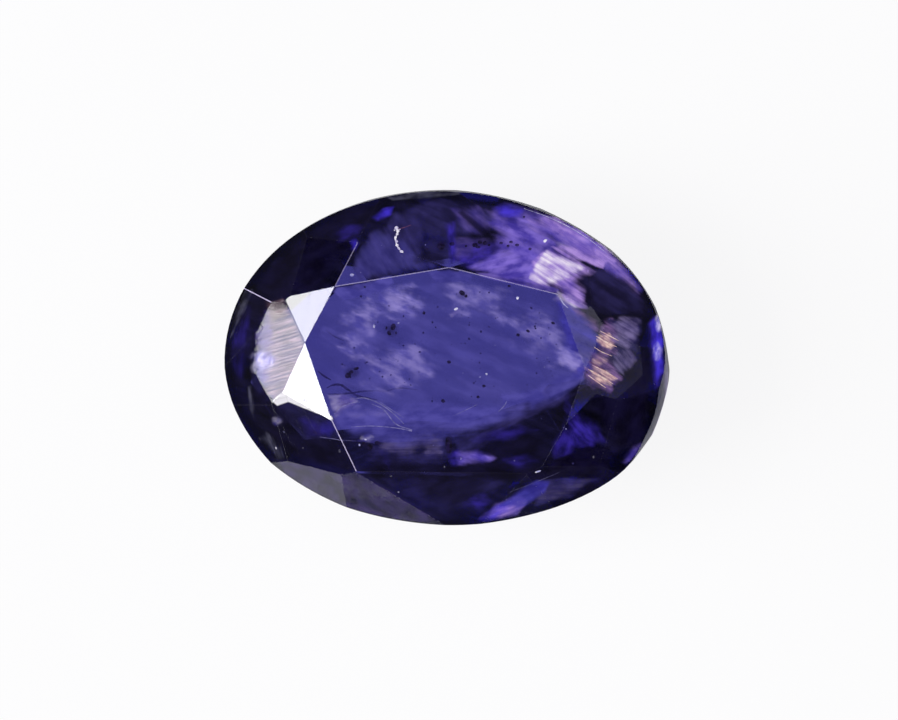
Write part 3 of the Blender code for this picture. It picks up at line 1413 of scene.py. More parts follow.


# All of these glow with set colours: own colours of crystals and threads, painted light for the pale ones' brightness
GROWTHS = (
    Growth(
        "dark_crystals",
        GrainFinish("dark_crystal", seen(12, 8, 26), seen(34, 26, 66), 1.0, 0.45, 0.72),
        grains(
            (449, 445, 0.030, 3.6, 8.5, 1.2, 6), (448.5, 446, 0.026, 2.8, 7.0, 1.0, 6),
            (348, 375.5, 0.032, 3.4, 2.6, 1.2, 30), (351, 372, 0.032, 2.2, 1.6, 1.2, 10),
            (356.5, 368.5, 0.032, 2.8, 1.5, 1.2, 20), (393, 327, 0.032, 2.4, 3.6, 1.2, -20),
            (389, 333, 0.032, 1.8, 2.6, 1.2, 15), (386.5, 328, 0.032, 1.2, 1.6, 1.2), (396, 333, 0.032, 1.1, 1.3, 1.2),
            (462, 293, 0.032, 3.4, 2.4, 1.2, -25), (466, 296, 0.032, 1.6, 1.6, 1.2), (441, 246, 0.033, 4.0, 4.4, 1.2),
            (452, 244, 0.033, 2.6, 2.2, 1.2), (427, 249, 0.033, 1.8, 1.4, 1.2), (475, 245, 0.033, 2.8, 2.4, 1.2),
            (480, 242, 0.033, 2.2, 2.0, 1.2), (478, 247, 0.033, 2.6, 1.6, 1.2), (485, 243, 0.033, 2.4, 2.2, 1.2, 30),
            (489, 245, 0.033, 1.4, 1.2, 1.2), (466, 246, 0.033, 1.2, 1.2, 1.2), (501, 243, 0.033, 1.8, 1.4, 1.2),
            (508, 246, 0.033, 1.6, 1.6, 1.2), (511, 242, 0.033, 1.8, 1.4, 1.2), (517, 245, 0.033, 2.0, 1.6, 1.2),
            (530, 249, 0.033, 1.6, 1.4, 1.2), (524, 217, 0.033, 1.2, 1.2, 1.2), (509, 286, 0.053, 1.6, 1.2, 1.2),
            (553, 323, 0.055, 1.8, 1.4, 1.2, -20), (528, 331, 0.057, 2.0, 1.4, 1.2, -20),
            (518, 335, 0.057, 1.8, 1.6, 1.2), (443, 401, 0.065, 2.2, 1.8, 1.2, -30), (478, 397, 0.062, 1.6, 1.4, 1.2),
            (484, 386, 0.062, 1.8, 1.4, 1.2), (449, 362, 0.062, 1.8, 1.6, 1.2), (424, 313, 0.057, 1.5, 1.6, 1.2),
            (361, 296, 0.050, 1.3, 1.6, 1.2), (365, 287, 0.050, 1.5, 1.3, 1.2), (370, 447, 0.055, 3.4, 3.0, 1.2, 10),
            (378, 443, 0.055, 3.6, 2.2, 1.2, -8), (364, 444, 0.056, 2.2, 2.6, 1.2),
            (583, 388, 0.060, 7.0, 3.2, 1.2, 0),
        ),
    ),
    # Pale crystals: their own pale colour, with painted light for their brightness
    Growth(
        "pale_crystals",
        GrainFinish("pale_crystal", seen(170, 168, 222), seen(252, 248, 255), 1.0, 0.3),
        grains(
            (352, 275, 0.2, 2.0, 1.5, 1.2, -10), (517.5, 298, 0.05, 1.4, 1.4, 0.8), (593.5, 457, 0.1, 1.0, 1.3, 0.8),
            (391, 476, 0.1, 1.2, 1.0, 0.8), (444.5, 467, 0.1, 0.7, 1.1, 0.7), (461, 459, 0.3, 0.9, 1.4, 0.8),
            (276, 448, 0.1, 0.9, 1.3, 0.8), (303, 448, 0.1, 0.8, 0.7, 0.7), (284, 432, 0.15, 1.3, 0.9, 0.8, -30),
            (365.5, 439.5, 0.25, 1.2, 0.9, 0.8, -20), (359.5, 445, 0.25, 0.9, 1.2, 0.8),
            (339.5, 451, 0.2, 1.2, 1.8, 0.9), (398.5, 323, 0.6, 1.2, 0.8, 0.8, 30), (374, 326, 0.5, 1.1, 2.0, 0.8),
            (486.5, 374, 0.5, 1.3, 1.0, 0.8, -20), (480, 377, 0.5, 1.1, 0.7, 0.7, 20), (566, 429, 0.3, 0.7, 0.7, 0.7),
            (398.5, 492, 0.05, 0.6, 0.6, 0.6), (538, 471.5, 0.05, 3.2, 1.3, 0.8, 15),
            (545, 241, 0.03, 2.8, 1.4, 0.8, 48), (456, 309, 0.3, 2.4, 1.2, 0.8, 25),
        ),
    ),
    # A healed feather: its own pale colour, with painted light for its brightness
    Growth(
        "healed_feather",
        GrainFinish("feather", seen(176, 166, 210), seen(250, 246, 255), 1.0, 0.3),
        (
            Hair(
                ((396.2, 227), (397.6, 232), (395.6, 238), (396.2, 243), (398.4, 248), (402.0, 252)),
                (0.8, 1.5, 0.8), 0.044,
            ),
            *grains(
                (396.4, 228.0, 0.044, 2.2, 1.9, 0.8, 30), (397.8, 230.8, 0.044, 1.6, 2.0, 0.8),
                (397.2, 234.0, 0.044, 1.4, 1.5, 0.8), (395.4, 237.6, 0.044, 1.2, 2.2, 0.8, -15),
                (396.6, 241.4, 0.044, 1.4, 1.6, 0.8), (397.0, 245.2, 0.044, 1.6, 1.4, 0.8, -20),
                (398.8, 248.4, 0.044, 1.2, 1.6, 0.8, 25), (401.6, 251.4, 0.044, 2.1, 1.2, 0.8, -25),
                (394.6, 230.2, 0.044, 0.8, 0.7, 0.6), (399.8, 229.4, 0.044, 0.9, 0.6, 0.6, 20),
            ),
        ),
    ),
    # Pale threads: their own colour, with painted light for their glow
    Growth(
        "pale_hairs",
        GrainFinish("pale_hair", seen(104, 100, 160), seen(160, 154, 206), 0.85, 0.4, 0.40),
        (
            Hair(((372, 404), (384, 410), (396, 424), (412, 430)), (0.4, 1.1, 0.9), 0.028),
            Hair(((351, 427), (372, 426), (396, 428), (412, 431)), (0.3, 0.8, 1.2), 0.028),
            Hair(((324, 438), (340, 440), (356, 441)), (0.2, 0.3, 0.2), 0.2),
            Hair(((380, 402), (392, 410), (404, 418)), (0.3, 0.7, 0.3), 0.028),
            Hair(((381, 496), (387, 500), (394, 505)), (0.6, 1.0, 0.7), 0.03),
            Hair(((453, 416), (466, 410), (478, 404)), (0.2, 0.45, 0.2), 0.028),
            Hair(((498, 412), (504, 406), (507, 401)), (0.4, 0.9, 0.4), 0.028),
            Hair(((350, 400), (364, 398), (380, 404), (394, 414), (404, 424)), (0.3, 1.2, 0.5), 0.0285),
            Hair(((334, 414), (342, 407), (352, 403), (360, 402)), (0.3, 0.7, 0.3), 0.0285),
            Hair(((320, 437), (334, 439), (344, 441)), (0.3, 0.8, 0.4), 0.0285),
            Hair(((510, 492), (536, 482), (560, 472)), (0.2, 0.4, 0.2), 0.03),
        ),
    ),
    # Painted highlight: pale lines inside the girdle at the upper right and at a star's corner
    Growth(
        "painted_edge_highlights",
        GrainFinish("painted_edge_highlight", seen(150, 146, 214), seen(226, 222, 252), 0.9, 0.4, 0.6),
        (
            Hair(((524, 208.5), (548, 217), (570, 227.5), (590, 240), (606, 252.5)), (0.3, 0.8, 0.3), 0.020),
            Hair(((560, 297.5), (563, 303), (568, 308)), (0.4, 0.9, 0.3), 0.020),
        ),
    ),
    # Painted highlight: a pale violet line on the girdle at the right
    Growth(
        "painted_girdle_highlight",
        GrainFinish("painted_girdle_highlight", seen(104, 90, 148), seen(166, 150, 204), 0.9, 0.4, 0.6),
        (Hair(((668, 366), (667, 386), (663, 407), (655.5, 428), (645, 446)), (0.6, 1.1, 0.5), 0.020),),
    ),
    Growth(
        "rusty_fringe",
        GrainFinish("rusty_fringe", seen(88, 52, 84), seen(124, 76, 104), 0.9, 0.4, 0.5),
        (
            Hair(((398, 229), (404, 227.5), (411, 225)), (1.0, 0.9, 0.4), 0.12),
            Hair(((312, 430), (316, 433), (321, 434)), (1.0, 2.2, 0.6), 0.2),
            Hair(((589, 361), (597, 366), (606, 371)), (0.5, 1.6, 0.4), 0.027),
        ),
    ),
    # Peach threads at the right: their own colour, with painted light for their glow
    Growth(
        "peach_hairs",
        GrainFinish("peach_hair", seen(214, 164, 168), seen(255, 230, 214), 0.95, 0.4, 0.6),
        (
            Hair(((596, 336), (606, 342), (617, 347)), (0.4, 1.4, 0.4), 0.026),
            Hair(((600, 331), (608, 335), (619, 341)), (0.3, 1.0, 0.3), 0.026),
            Hair(((588, 369), (600, 376), (613, 384)), (0.4, 1.5, 0.4), 0.026),
            Hair(((592, 365), (604, 371), (618, 379)), (0.3, 1.2, 0.3), 0.026),
            Hair(((588, 375), (596, 381), (606, 388)), (0.3, 1.0, 0.3), 0.026),
            Hair(((594, 347), (602, 352), (612, 356)), (0.3, 0.7, 0.3), 0.026),
        ),
    ),
    Growth(
        "dark_hairs",
        GrainFinish("dark_hair", seen(26, 22, 66), seen(48, 42, 104), 1.0, 0.4, 0.75),
        (
            Hair(((318, 371), (324, 376), (331, 380)), (0.6, 1.9, 0.8), 0.4),
            Hair(((327, 388), (333, 385), (341, 385), (347, 389), (353, 393)), (0.6, 2.4, 1.0), 0.35),
            Hair(((328, 394), (340, 394), (352, 393), (366, 391), (386, 391)), (0.5, 1.8, 0.5), 0.4),
            Hair(((347, 389), (358, 396), (378, 400)), (0.6, 2.4, 0.5), 0.45),
            Hair(((334, 413), (341, 406), (350, 402)), (0.4, 1.3, 0.5), 0.4),
            Hair(((326, 330), (334, 336), (344, 341)), (0.5, 1.4, 0.6), 0.5),
            Hair(((352, 441), (368, 441), (384, 446)), (0.8, 2.8, 0.8), 0.5),
            Hair(((386, 391), (400, 388), (418, 390)), (0.4, 1.6, 0.4), 0.5),
        ),
    ),
)

# Pinpoints glow with set colours: the dark ones their own colour, the pale ones painted light for their brightness
PINPOINTS = (
    Pinpoints("dark_pinpoints", GrainFinish("dark_pinpoint", seen(22, 17, 56), seen(44, 38, 96), 1.0, 0.4, 0.8), 90),
    Pinpoints(
        "pale_pinpoints",
        GrainFinish("pale_pinpoint", seen(110, 104, 196), seen(178, 172, 232), 0.7, 0.4, 0.7),
        26,
        middle=(446.0, 358.0),
        spread=(205.0, 150.0),
        size=(0.35, 0.75),
        seed=8,
    ),
)


def oval(middle: Pixel, half_width: float, half_height: float, points: int = 16) -> tuple[Pixel, ...]:
    """Returns the outline of an oval sheet, clockwise in the picture.

    Args:
        middle: The pixel in its middle.
        half_width: Half its width in pixels.
        half_height: Half its height in pixels.
        points: How many pixels its outline has.

    Returns:
        The outline.
    """
    turns = (2 * math.pi * index / points for index in range(points))
    return tuple((middle[0] + half_width * math.cos(t), middle[1] + half_height * math.sin(t)) for t in turns)


# Sheets inside the stone that glow with set colours: painted light where pale, painted shade where dark
PAINTED_VEILS = (
    PaintedVeil(
        "growth_haze",
        PaintedVeilFinish("growth_haze", seen(14, 11, 40), seen(60, 53, 116), 0.14, 0.55, 3.4, 1.1),
        (Patch(oval((446.7, 358.5), 219, 164, 28), 10, -24, 0.113, 1.0, 3.0),),
    ),
    # Painted light: a violet glow laid over the window under the table
    PaintedVeil(
        "painted_window_light",
        PaintedVeilFinish("painted_window_light", seen(50, 48, 120), seen(104, 98, 184), 0.50, 0.60, 3.2, 1.2),
        (
            Patch(
                ((340, 290), (448, 273), (556, 298), (578, 370), (560, 392), (500, 412), (345, 416), (310, 346)),
                14, -24, 0.35, 0.9, 3.0,
            ),
            Patch(
                ((330, 300), (372, 284), (430, 280), (440, 330), (380, 400), (340, 404), (314, 350)),
                26, -24, 0.45, 0.6, 3.0,
            ),
        ),
    ),
    # Painted light: pale lavender glows in the window
    PaintedVeil(
        "painted_window_glows",
        PaintedVeilFinish("painted_window_glow", seen(86, 81, 178), seen(184, 170, 240), 0.82, 0.30, 4.0, 2.4, 1.1),
        (
            Patch(((366, 302), (384, 284), (414, 280), (434, 298), (420, 322), (386, 324)), 20, -20, 0.20, 1.0),
            Patch(((330, 340), (342, 296), (372, 284), (388, 312), (366, 362), (340, 372)), 24, -24, 0.22, 0.75),
            Patch(((488, 310), (530, 296), (578, 330), (580, 366), (546, 372), (506, 350)), 26, -24, 0.24, 0.55),
            Patch(((352, 350), (424, 336), (446, 372), (404, 402), (358, 390)), 26, -24, 0.26, 0.6),
            Patch(((338, 404), (372, 396), (424, 408), (408, 432), (354, 434)), 16, -10, 0.21, 0.65),
            Patch(((426, 288), (462, 276), (516, 288), (512, 316), (446, 322)), 18, -20, 0.23, 0.65),
            Patch(((550, 336), (574, 338), (588, 362), (572, 378), (554, 364)), 14, -24, 0.042, 0.7),
        ),
    ),
    # Painted light: violet glows along the table's rims
    PaintedVeil(
        "painted_rim_glows",
        PaintedVeilFinish("painted_rim_glow", seen(58, 54, 138), seen(88, 82, 170), 0.95, 0.2, 4.0, 1.8, 0.5),
        (
            Patch(((330, 292), (336, 286), (392, 274), (396, 284), (380, 294), (344, 302)), 4, -10, 0.0305, 1.0, 1.25),
            Patch(((425, 271), (449, 268), (476, 274), (470, 284), (434, 284)), 5, 0, 0.15, 1.0, 1.5),
            Patch(
                (
                    (324, 418), (345, 402), (470, 398), (540, 396), (540, 414), (490, 432), (450, 448), (400, 450),
                    (350, 442),
                ),
                16, 5, 0.048, 0.95,
            ),
            Patch(((520, 396), (556, 370), (582, 364), (588, 380), (560, 402), (530, 414)), 11, 25, 0.047, 0.9),
            Patch(
                ((338, 288), (354, 252), (374, 226), (402, 236), (436, 262), (440, 269), (400, 278)),
                12, -55, 0.065, 0.5,
            ),
            Patch(((496, 392), (540, 386), (550, 398), (524, 410), (500, 408)), 6, 5, 0.0462, 1.0),
        ),
    ),
    # Painted light: blue glows at the right of the table and at the bottom
    PaintedVeil(
        "painted_window_blues",
        PaintedVeilFinish("painted_window_blue", seen(44, 38, 136), seen(72, 66, 178), 0.95, 0.2, 4.0, 1.8, 0.5),
        (
            Patch(
                ((552, 290), (574, 300), (600, 326), (606, 350), (594, 374), (574, 386), (560, 350)),
                12, -28, 0.044, 0.85,
            ),
            Patch(((494, 508), (510, 494), (536, 478), (552, 480), (546, 495), (520, 510)), 6, 18, 0.0312, 0.95, 1.25),
        ),
    ),
    # Painted shade: dim violet sheets that hide the brighter light behind them
    PaintedVeil(
        "dusky_painted_shades",
        PaintedVeilFinish("dusky_painted_shade", seen(30, 26, 68), seen(58, 52, 114), 0.85, 0.25, 5.0, 1.8, 0.9),
        (
            Patch(((344, 286), (358, 240), (390, 210), (420, 203), (434, 220), (424, 268), (405, 276)), 16, -60, 0.25),
            Patch(((396, 208), (440, 196), (500, 205), (506, 226), (470, 244), (406, 240)), 14, -22, 0.2, 0.75),
            Patch(((418, 240), (456, 232), (470, 264), (430, 272)), 12, 0, 0.25, 0.55),
            Patch(
                ((600, 334), (606, 316), (643, 316), (645, 350), (640, 376), (618, 378), (602, 358)),
                9, -30, 0.062, 0.8,
            ),
            Patch(((366, 440), (420, 430), (458, 446), (448, 474), (400, 478), (362, 462)), 16, 5, 0.088, 0.9),
            Patch(
                ((450, 440), (500, 412), (556, 388), (584, 392), (572, 404), (524, 430), (462, 460)),
                14, 25, 0.086, 0.9,
            ),
            Patch(((536, 478), (610, 472), (600, 486), (566, 502), (530, 512)), 8, 0, 0.066, 0.9),
            Patch(((350, 480), (372, 472), (414, 498), (446, 521), (400, 519), (356, 506)), 7, -25, 0.091, 0.4),
            Patch(((262, 452), (346, 474), (346, 504), (318, 496), (280, 474)), 7, -25, 0.093, 0.35),
            Patch(((372, 474), (520, 474), (500, 500), (446, 520), (420, 512)), 12, 20, 0.3, 0.5),
            Patch(
                ((576, 274), (600, 266), (634, 280), (646, 300), (646, 316), (606, 316), (590, 302)),
                10, -32, 0.0368, 0.5, 1.5,
            ),
        ),
    ),
    # Painted light: violet glows at the top, the right and the bottom
    PaintedVeil(
        "painted_violet_glows",
        PaintedVeilFinish("painted_violet_glow", seen(72, 56, 172), seen(146, 122, 232), 0.92, 0.15, 5.0, 1.9, 0.6),
        (
            Patch(
                ((478, 206), (504, 200), (540, 208), (566, 228), (552, 248), (516, 246), (486, 228)),
                16, -20, 0.050, 0.9,
            ),
            Patch(((486, 232), (512, 226), (552, 232), (566, 252), (536, 268), (500, 258)), 14, -30, 0.056, 0.75),
            Patch(
                ((462, 266), (498, 247), (530, 242), (546, 258), (548, 290), (500, 279), (470, 273)),
                8, 15, 0.060, 0.9,
            ),
            Patch(
                ((530, 208), (562, 216), (592, 232), (614, 252), (600, 268), (572, 262), (548, 246)),
                13, -30, 0.064, 0.9,
            ),
            Patch(((588, 230), (622, 256), (646, 290), (638, 306), (618, 288), (594, 262)), 12, -38, 0.066, 0.7),
            Patch(((452, 450), (478, 444), (500, 458), (484, 469), (456, 468)), 10, -15, 0.06, 1.0, 1.5),
            Patch(((472, 520), (494, 502), (520, 493), (532, 501), (518, 516), (490, 524)), 9, 18, 0.060, 0.8),
            Patch(((446, 206), (480, 202), (500, 222), (490, 240), (462, 234)), 14, -38, 0.090, 0.35),
            Patch(((614, 466), (632, 442), (646, 440), (634, 468)), 8, 50, 0.06, 0.6),
            Patch(((470, 270), (520, 276), (560, 288), (562, 296), (530, 290), (480, 277)), 3, -12, 0.058, 0.6, 1.25),
            Patch(((440, 236), (500, 232), (516, 246), (500, 262), (452, 266)), 12, 0, 0.085, 0.35),
        ),
    ),
    # Painted light in deep blue, dim enough to paint shade over brighter places
    PaintedVeil(
        "painted_indigo_glows",
        PaintedVeilFinish("painted_indigo_glow", seen(22, 16, 78), seen(62, 46, 172), 0.88, 0.12, 5.0, 2.0, 0.5),
        (
            Patch(((366, 218), (382, 206), (396, 205), (392, 217), (376, 225)), 7, 25, 0.052, 1.0, 1.5),
            Patch(((326, 238), (344, 222), (372, 220), (362, 240), (340, 248)), 13, 20, 0.054, 0.5),
            Patch(((346, 250), (354, 240), (366, 238), (358, 256)), 8, 60, 0.056, 0.6, 1.5),
            Patch(((443, 222), (457, 218), (460, 264), (447, 268)), 7, 90, 0.049, 0.9),
            Patch(((488, 206), (504, 198), (530, 206), (520, 226), (498, 224)), 11, 0, 0.046, 0.6, 1.5),
            Patch(((450, 254), (476, 242), (510, 244), (500, 264), (470, 272), (456, 268)), 11, 10, 0.070, 0.9),
            Patch(((645, 322), (655, 312), (666, 336), (665, 380), (654, 396), (647, 360)), 8, 80, 0.066, 0.9),
            Patch(
                ((556, 398), (568, 390), (600, 420), (612, 446), (590, 452), (560, 452), (560, 426)),
                17, -50, 0.072, 1.0,
            ),
            Patch(((544, 440), (562, 424), (582, 436), (576, 458), (552, 464)), 13, 60, 0.076, 0.7),
            Patch(((442, 452), (460, 446), (468, 468), (450, 470)), 8, 0, 0.078, 0.8),
            Patch(
                ((229, 330), (244, 300), (260, 308), (254, 340), (254, 372), (240, 388), (229, 366)),
                14, 80, 0.09, 0.5,
            ),
            Patch(((290, 416), (304, 410), (324, 420), (328, 440), (306, 442)), 15, -30, 0.05, 0.35),
            Patch(((458, 500), (486, 486), (500, 502), (480, 516), (460, 512)), 13, 0, 0.12, 0.8),
            Patch(((376, 448), (388, 446), (396, 476), (384, 480)), 9, 75, 0.056, 0.35),
            Patch(((462, 432), (520, 422), (546, 430), (516, 442), (470, 446)), 11, 10, 0.080, 0.5),
            Patch(((496, 458), (530, 450), (546, 462), (516, 476)), 12, 10, 0.082, 0.5),
        ),
    ),
    # Painted shade: near-black sheets over the dark places and round the dark crystals
    PaintedVeil(
        "painted_deep_shades",
        PaintedVeilFinish("painted_deep_shade", seen(3, 1, 18), seen(16, 12, 44), 0.94, 0.15, 5.0, 1.6, 0.45),
        (
            Patch(
                ((562, 286), (578, 272), (604, 268), (634, 276), (648, 296), (648, 316), (604, 318), (584, 306)),
                13, -32, 0.060,
            ),
            Patch(((448, 208), (466, 204), (486, 222), (512, 242), (494, 246), (464, 230)), 10, -38, 0.074, 0.75),
            Patch(((402, 257), (430, 249), (447, 255), (446, 267), (414, 269)), 8, 0, 0.0475, 0.7),
            Patch(
                ((446, 458), (476, 438), (520, 428), (552, 432), (548, 464), (520, 476), (466, 482)),
                17, 15, 0.084, 0.9,
            ),
            Patch(((532, 480), (556, 458), (584, 445), (612, 445), (612, 479)), 4, 0, 0.0535, 1.0),
            Patch(
                ((594, 392), (612, 376), (640, 330), (654, 372), (652, 424), (640, 452), (608, 450), (598, 424)),
                9, 70, 0.058, 1.0,
            ),
            Patch(
                ((262, 398), (286, 392), (300, 394), (336, 416), (360, 470), (352, 476), (300, 462), (266, 440)),
                8, -30, 0.064, 1.0,
            ),
            Patch(
                ((248, 288), (286, 240), (350, 203), (400, 194), (368, 234), (340, 286), (286, 300)),
                12, 30, 0.058, 0.95,
            ),
            Patch(
                ((228, 380), (236, 330), (250, 300), (266, 304), (252, 350), (262, 396), (248, 412)),
                9, 80, 0.06, 0.45,
            ),
            Patch(((566, 470), (608, 474), (644, 450), (606, 486), (560, 506), (556, 490)), 8, 10, 0.08, 0.35),
            Patch(((436, 470), (500, 474), (488, 492), (452, 516), (420, 500), (360, 474)), 14, 30, 0.085, 0.8),
            Patch(((562, 398), (590, 378), (616, 370), (614, 398), (584, 406)), 10, 20, 0.045, 0.9),
            Patch(((350, 468), (372, 460), (536, 462), (564, 474), (520, 484), (372, 482)), 8, 0, 0.056, 1.0, 1.5),
            Patch(((580, 484), (600, 474), (642, 452), (640, 464), (606, 492), (572, 502)), 7, 20, 0.054, 0.8, 1.5),
            Patch(oval((352.5, 373), 10, 8), 10, 20, 0.034, 0.6, 1.0),
            Patch(oval((391, 330), 10, 11), 10, 0, 0.034, 0.55, 1.0),
            Patch(oval((463, 294), 9, 7), 9, 0, 0.034, 0.5, 1.0),
            Patch(oval((449, 445), 9, 13), 9, 0, 0.035, 0.8, 1.0),
            Patch(oval((442, 246), 9, 7), 8, 0, 0.038, 0.5, 1.0),
            Patch(oval((482, 244), 12, 6), 7, 0, 0.038, 0.6, 1.0),
            Patch(((246, 366), (256, 364), (282, 404), (300, 416), (280, 430), (258, 408)), 7, 60, 0.057, 1.0),
            Patch(((247, 368), (256, 370), (278, 404), (272, 412), (252, 392)), 3, 60, 0.030, 1.0, 1.25),
            Patch(((370, 456), (396, 450), (424, 456), (424, 480), (396, 490), (372, 474)), 10, 0, 0.0515, 0.7),
            Patch(((456, 212), (462, 209), (500, 238), (496, 243), (478, 232)), 3, -40, 0.045, 0.7, 1.25),
            Patch(
                ((566, 280), (586, 266), (612, 266), (636, 282), (648, 300), (648, 318), (604, 318), (582, 302)),
                12, -32, 0.0375, 0.85, 1.5,
            ),
        ),
    ),
    # Painted light: bright lavender streaks at the upper right, shaped as silk
    PaintedVeil(
        "painted_silk_glows",
        PaintedVeilFinish("painted_silk_glow", seen(172, 142, 222), seen(248, 238, 253), 1.0, 0.32, 11.0, 2.2, 0.6),
        (
            Patch(
                ((546, 248), (566, 256), (594, 269), (576, 277), (558, 291), (541, 286), (527, 280), (530, 269)),
                7, -32, 0.036, 1.0, 1.25,
            ),
            Patch(((550, 300), (556, 287), (572, 294), (586, 308), (574, 312), (562, 306)), 6, -32, 0.034, 0.6, 1.25),
        ),
    ),
    # Painted light: lilac streaks at the upper right and the bottom
    PaintedVeil(
        "painted_lilac_streaks",
        PaintedVeilFinish("painted_lilac_streak", seen(98, 74, 178), seen(186, 152, 232), 0.95, 0.34, 9.0, 2.2, 0.7),
        (
            Patch(
                ((546, 284), (560, 272), (576, 274), (588, 288), (586, 306), (572, 308), (560, 300)),
                10, -32, 0.040, 1.0, 1.5,
            ),
            Patch(
                ((528, 262), (548, 246), (584, 260), (600, 272), (580, 284), (556, 292), (530, 284)),
                8, -32, 0.039, 0.9, 1.5,
            ),
            Patch(((550, 218), (588, 230), (618, 252), (604, 270), (578, 260), (550, 242)), 14, -32, 0.042, 0.9, 1.5),
            Patch(((522, 216), (548, 212), (566, 226), (558, 240), (530, 236)), 14, -28, 0.044, 0.6, 1.5),
            Patch(((598, 252), (618, 256), (640, 280), (644, 304), (622, 290)), 13, -40, 0.043, 0.7, 1.5),
            Patch(((488, 517), (498, 506), (512, 502), (522, 506), (516, 514), (500, 520)), 8, 18, 0.041, 0.55, 1.5),
            Patch(((552, 240), (576, 244), (602, 258), (600, 268), (572, 262)), 5, -32, 0.0415, 0.8, 1.5),
            Patch(((548, 246), (562, 243), (606, 261), (604, 270), (566, 259)), 4, -32, 0.0388, 0.85, 1.25),
            Patch(((556, 291), (570, 290), (588, 303), (592, 311), (576, 311), (562, 304)), 6, -32, 0.0332, 0.8, 1.25),
            Patch(((536, 214), (560, 216), (584, 230), (592, 242), (566, 238), (544, 228)), 8, -30, 0.0336, 0.85, 1.25),
            Patch(((584, 238), (604, 243), (622, 260), (612, 266), (592, 254)), 6, -34, 0.0337, 0.7, 1.25),
        ),
    ),
    # Copper-coloured streaks at the right: their own colour, with painted light for their glow
    PaintedVeil(
        "copper_streaks",
        PaintedVeilFinish("copper_streak", seen(150, 104, 130), seen(252, 212, 198), 0.92, 0.42, 16.0, 5.0, 0.9),
        (
            Patch(((593, 342), (599, 330), (610, 332), (620, 344), (612, 352), (600, 350)), 7, -32, 0.030, 0.95, 1.0),
            Patch(((586, 376), (592, 366), (606, 366), (620, 380), (612, 388), (596, 384)), 8, -32, 0.029, 0.95, 1.0),
            Patch(((590, 360), (598, 352), (610, 358), (606, 368), (594, 368)), 7, -32, 0.031, 0.5, 1.0),
        ),
    ),
    # Painted light: a dim rose-violet glow at the right
    PaintedVeil(
        "painted_rose_glow",
        PaintedVeilFinish("painted_rose_glow", seen(66, 48, 104), seen(134, 100, 156), 0.90, 0.30, 12.0, 3.0, 0.7),
        (
            Patch(((594, 348), (601, 316), (614, 316), (624, 334), (618, 356), (604, 362)), 9, -32, 0.038, 1.0, 1.25),
            Patch(((578, 378), (590, 346), (610, 348), (626, 378), (612, 396), (592, 392)), 11, -32, 0.037, 1.0, 1.25),
            Patch(((566, 306), (584, 304), (602, 318), (600, 336), (582, 326)), 10, -32, 0.0385, 0.6, 1.5),
        ),
    ),
    # Painted light: greyish violet glows at the right and the bottom
    PaintedVeil(
        "painted_ashen_glows",
        PaintedVeilFinish("painted_ashen_glow", seen(74, 64, 114), seen(142, 128, 180), 0.72, 0.35, 9.0, 2.6, 0.9),
        (
            Patch(((606, 322), (620, 314), (644, 317), (642, 340), (628, 352), (610, 342)), 10, -32, 0.0335, 1.0, 1.5),
            Patch(((566, 364), (584, 344), (598, 352), (590, 376), (572, 380)), 12, -30, 0.049, 0.8, 1.5),
            Patch(((376, 440), (400, 432), (432, 436), (436, 450), (400, 458), (378, 452)), 10, 0, 0.0525, 0.35),
            Patch(((612, 350), (634, 342), (640, 360), (624, 380), (610, 372)), 11, -50, 0.051, 0.7, 1.5),
            Patch(((536, 482), (600, 476), (580, 492), (530, 510)), 8, 0, 0.046, 0.22, 1.5),
            Patch(((549, 243), (562, 238), (580, 248), (576, 258), (560, 256)), 8, -32, 0.0405, 0.6, 1.5),
            Patch(((408, 436), (436, 431), (446, 440), (444, 456), (424, 458)), 9, 0, 0.0528, 0.45),
        ),
    ),
    # Painted light: pale lilac clouds in the window
    PaintedVeil(
        "painted_lilac_clouds",
        PaintedVeilFinish("painted_lilac_cloud", seen(112, 92, 178), seen(206, 194, 232), 0.8, 0.2, 4.0, 2.2, 0.8),
        (
            Patch(((326, 394), (352, 392), (361, 402), (348, 412), (334, 422)), 8, 10, 0.3, 0.8, 1.5),
            Patch(((340, 398), (354, 394), (361, 401), (352, 408)), 5, 10, 0.28, 1.0, 1.25),
            Patch(((378, 292), (404, 286), (418, 302), (392, 314)), 12, -20, 0.4, 0.6),
            Patch(((445, 314), (462, 304), (466, 308), (452, 320)), 6, 30, 0.3, 0.8, 1.5),
        ),
    ),
    # Painted light: pale glows on the right girdle, at the lower left and beside the nine o'clock main
    PaintedVeil(
        "pale_glows",
        PaintedVeilFinish("pale_glow", seen(96, 86, 212), seen(222, 212, 254), 0.92, 0.10, 4.0, 4.0, 0.5),
        (
            Patch(oval((659, 323), 6, 11), 6, 80, 0.034, 0.95, 1.0),
            Patch(oval((658, 352), 7, 12), 7, 80, 0.034, 0.85, 1.0),
            Patch(oval((277.5, 421), 8, 7), 8, 0, 0.029, 0.35, 1.0),
            Patch(oval((367, 438.5), 9, 6), 8, 0, 0.036, 0.45, 1.0),
            Patch(oval((264, 362), 18, 17), 16, 75, 0.0215, 1.0, 1.0),
        ),
    ),
    # Painted light: a dim glow on the girdle at the right
    PaintedVeil(
        "girdle_glows",
        PaintedVeilFinish("girdle_glow", seen(74, 62, 116), seen(126, 110, 170), 0.90, 0.20, 4.0, 2.0, 0.3),
        (
            Patch(((663, 352), (669, 362), (669, 394), (663, 402)), 3, 80, 0.025, 0.4, 1.0),
        ),
    ),
    # Painted highlight: white lines along a star facet's edge at the lower left
    PaintedVeil(
        "painted_star_highlights",
        PaintedVeilFinish("painted_star_highlight", seen(246, 243, 248), seen(255, 253, 255), 1.0, 0.15, 12.0, 2.0, 0.2),
        (
            Patch(((284, 391), (333, 416.5), (334, 421), (287, 402)), 1.5, 16, 0.020, 1.0, 0.75),
            Patch(
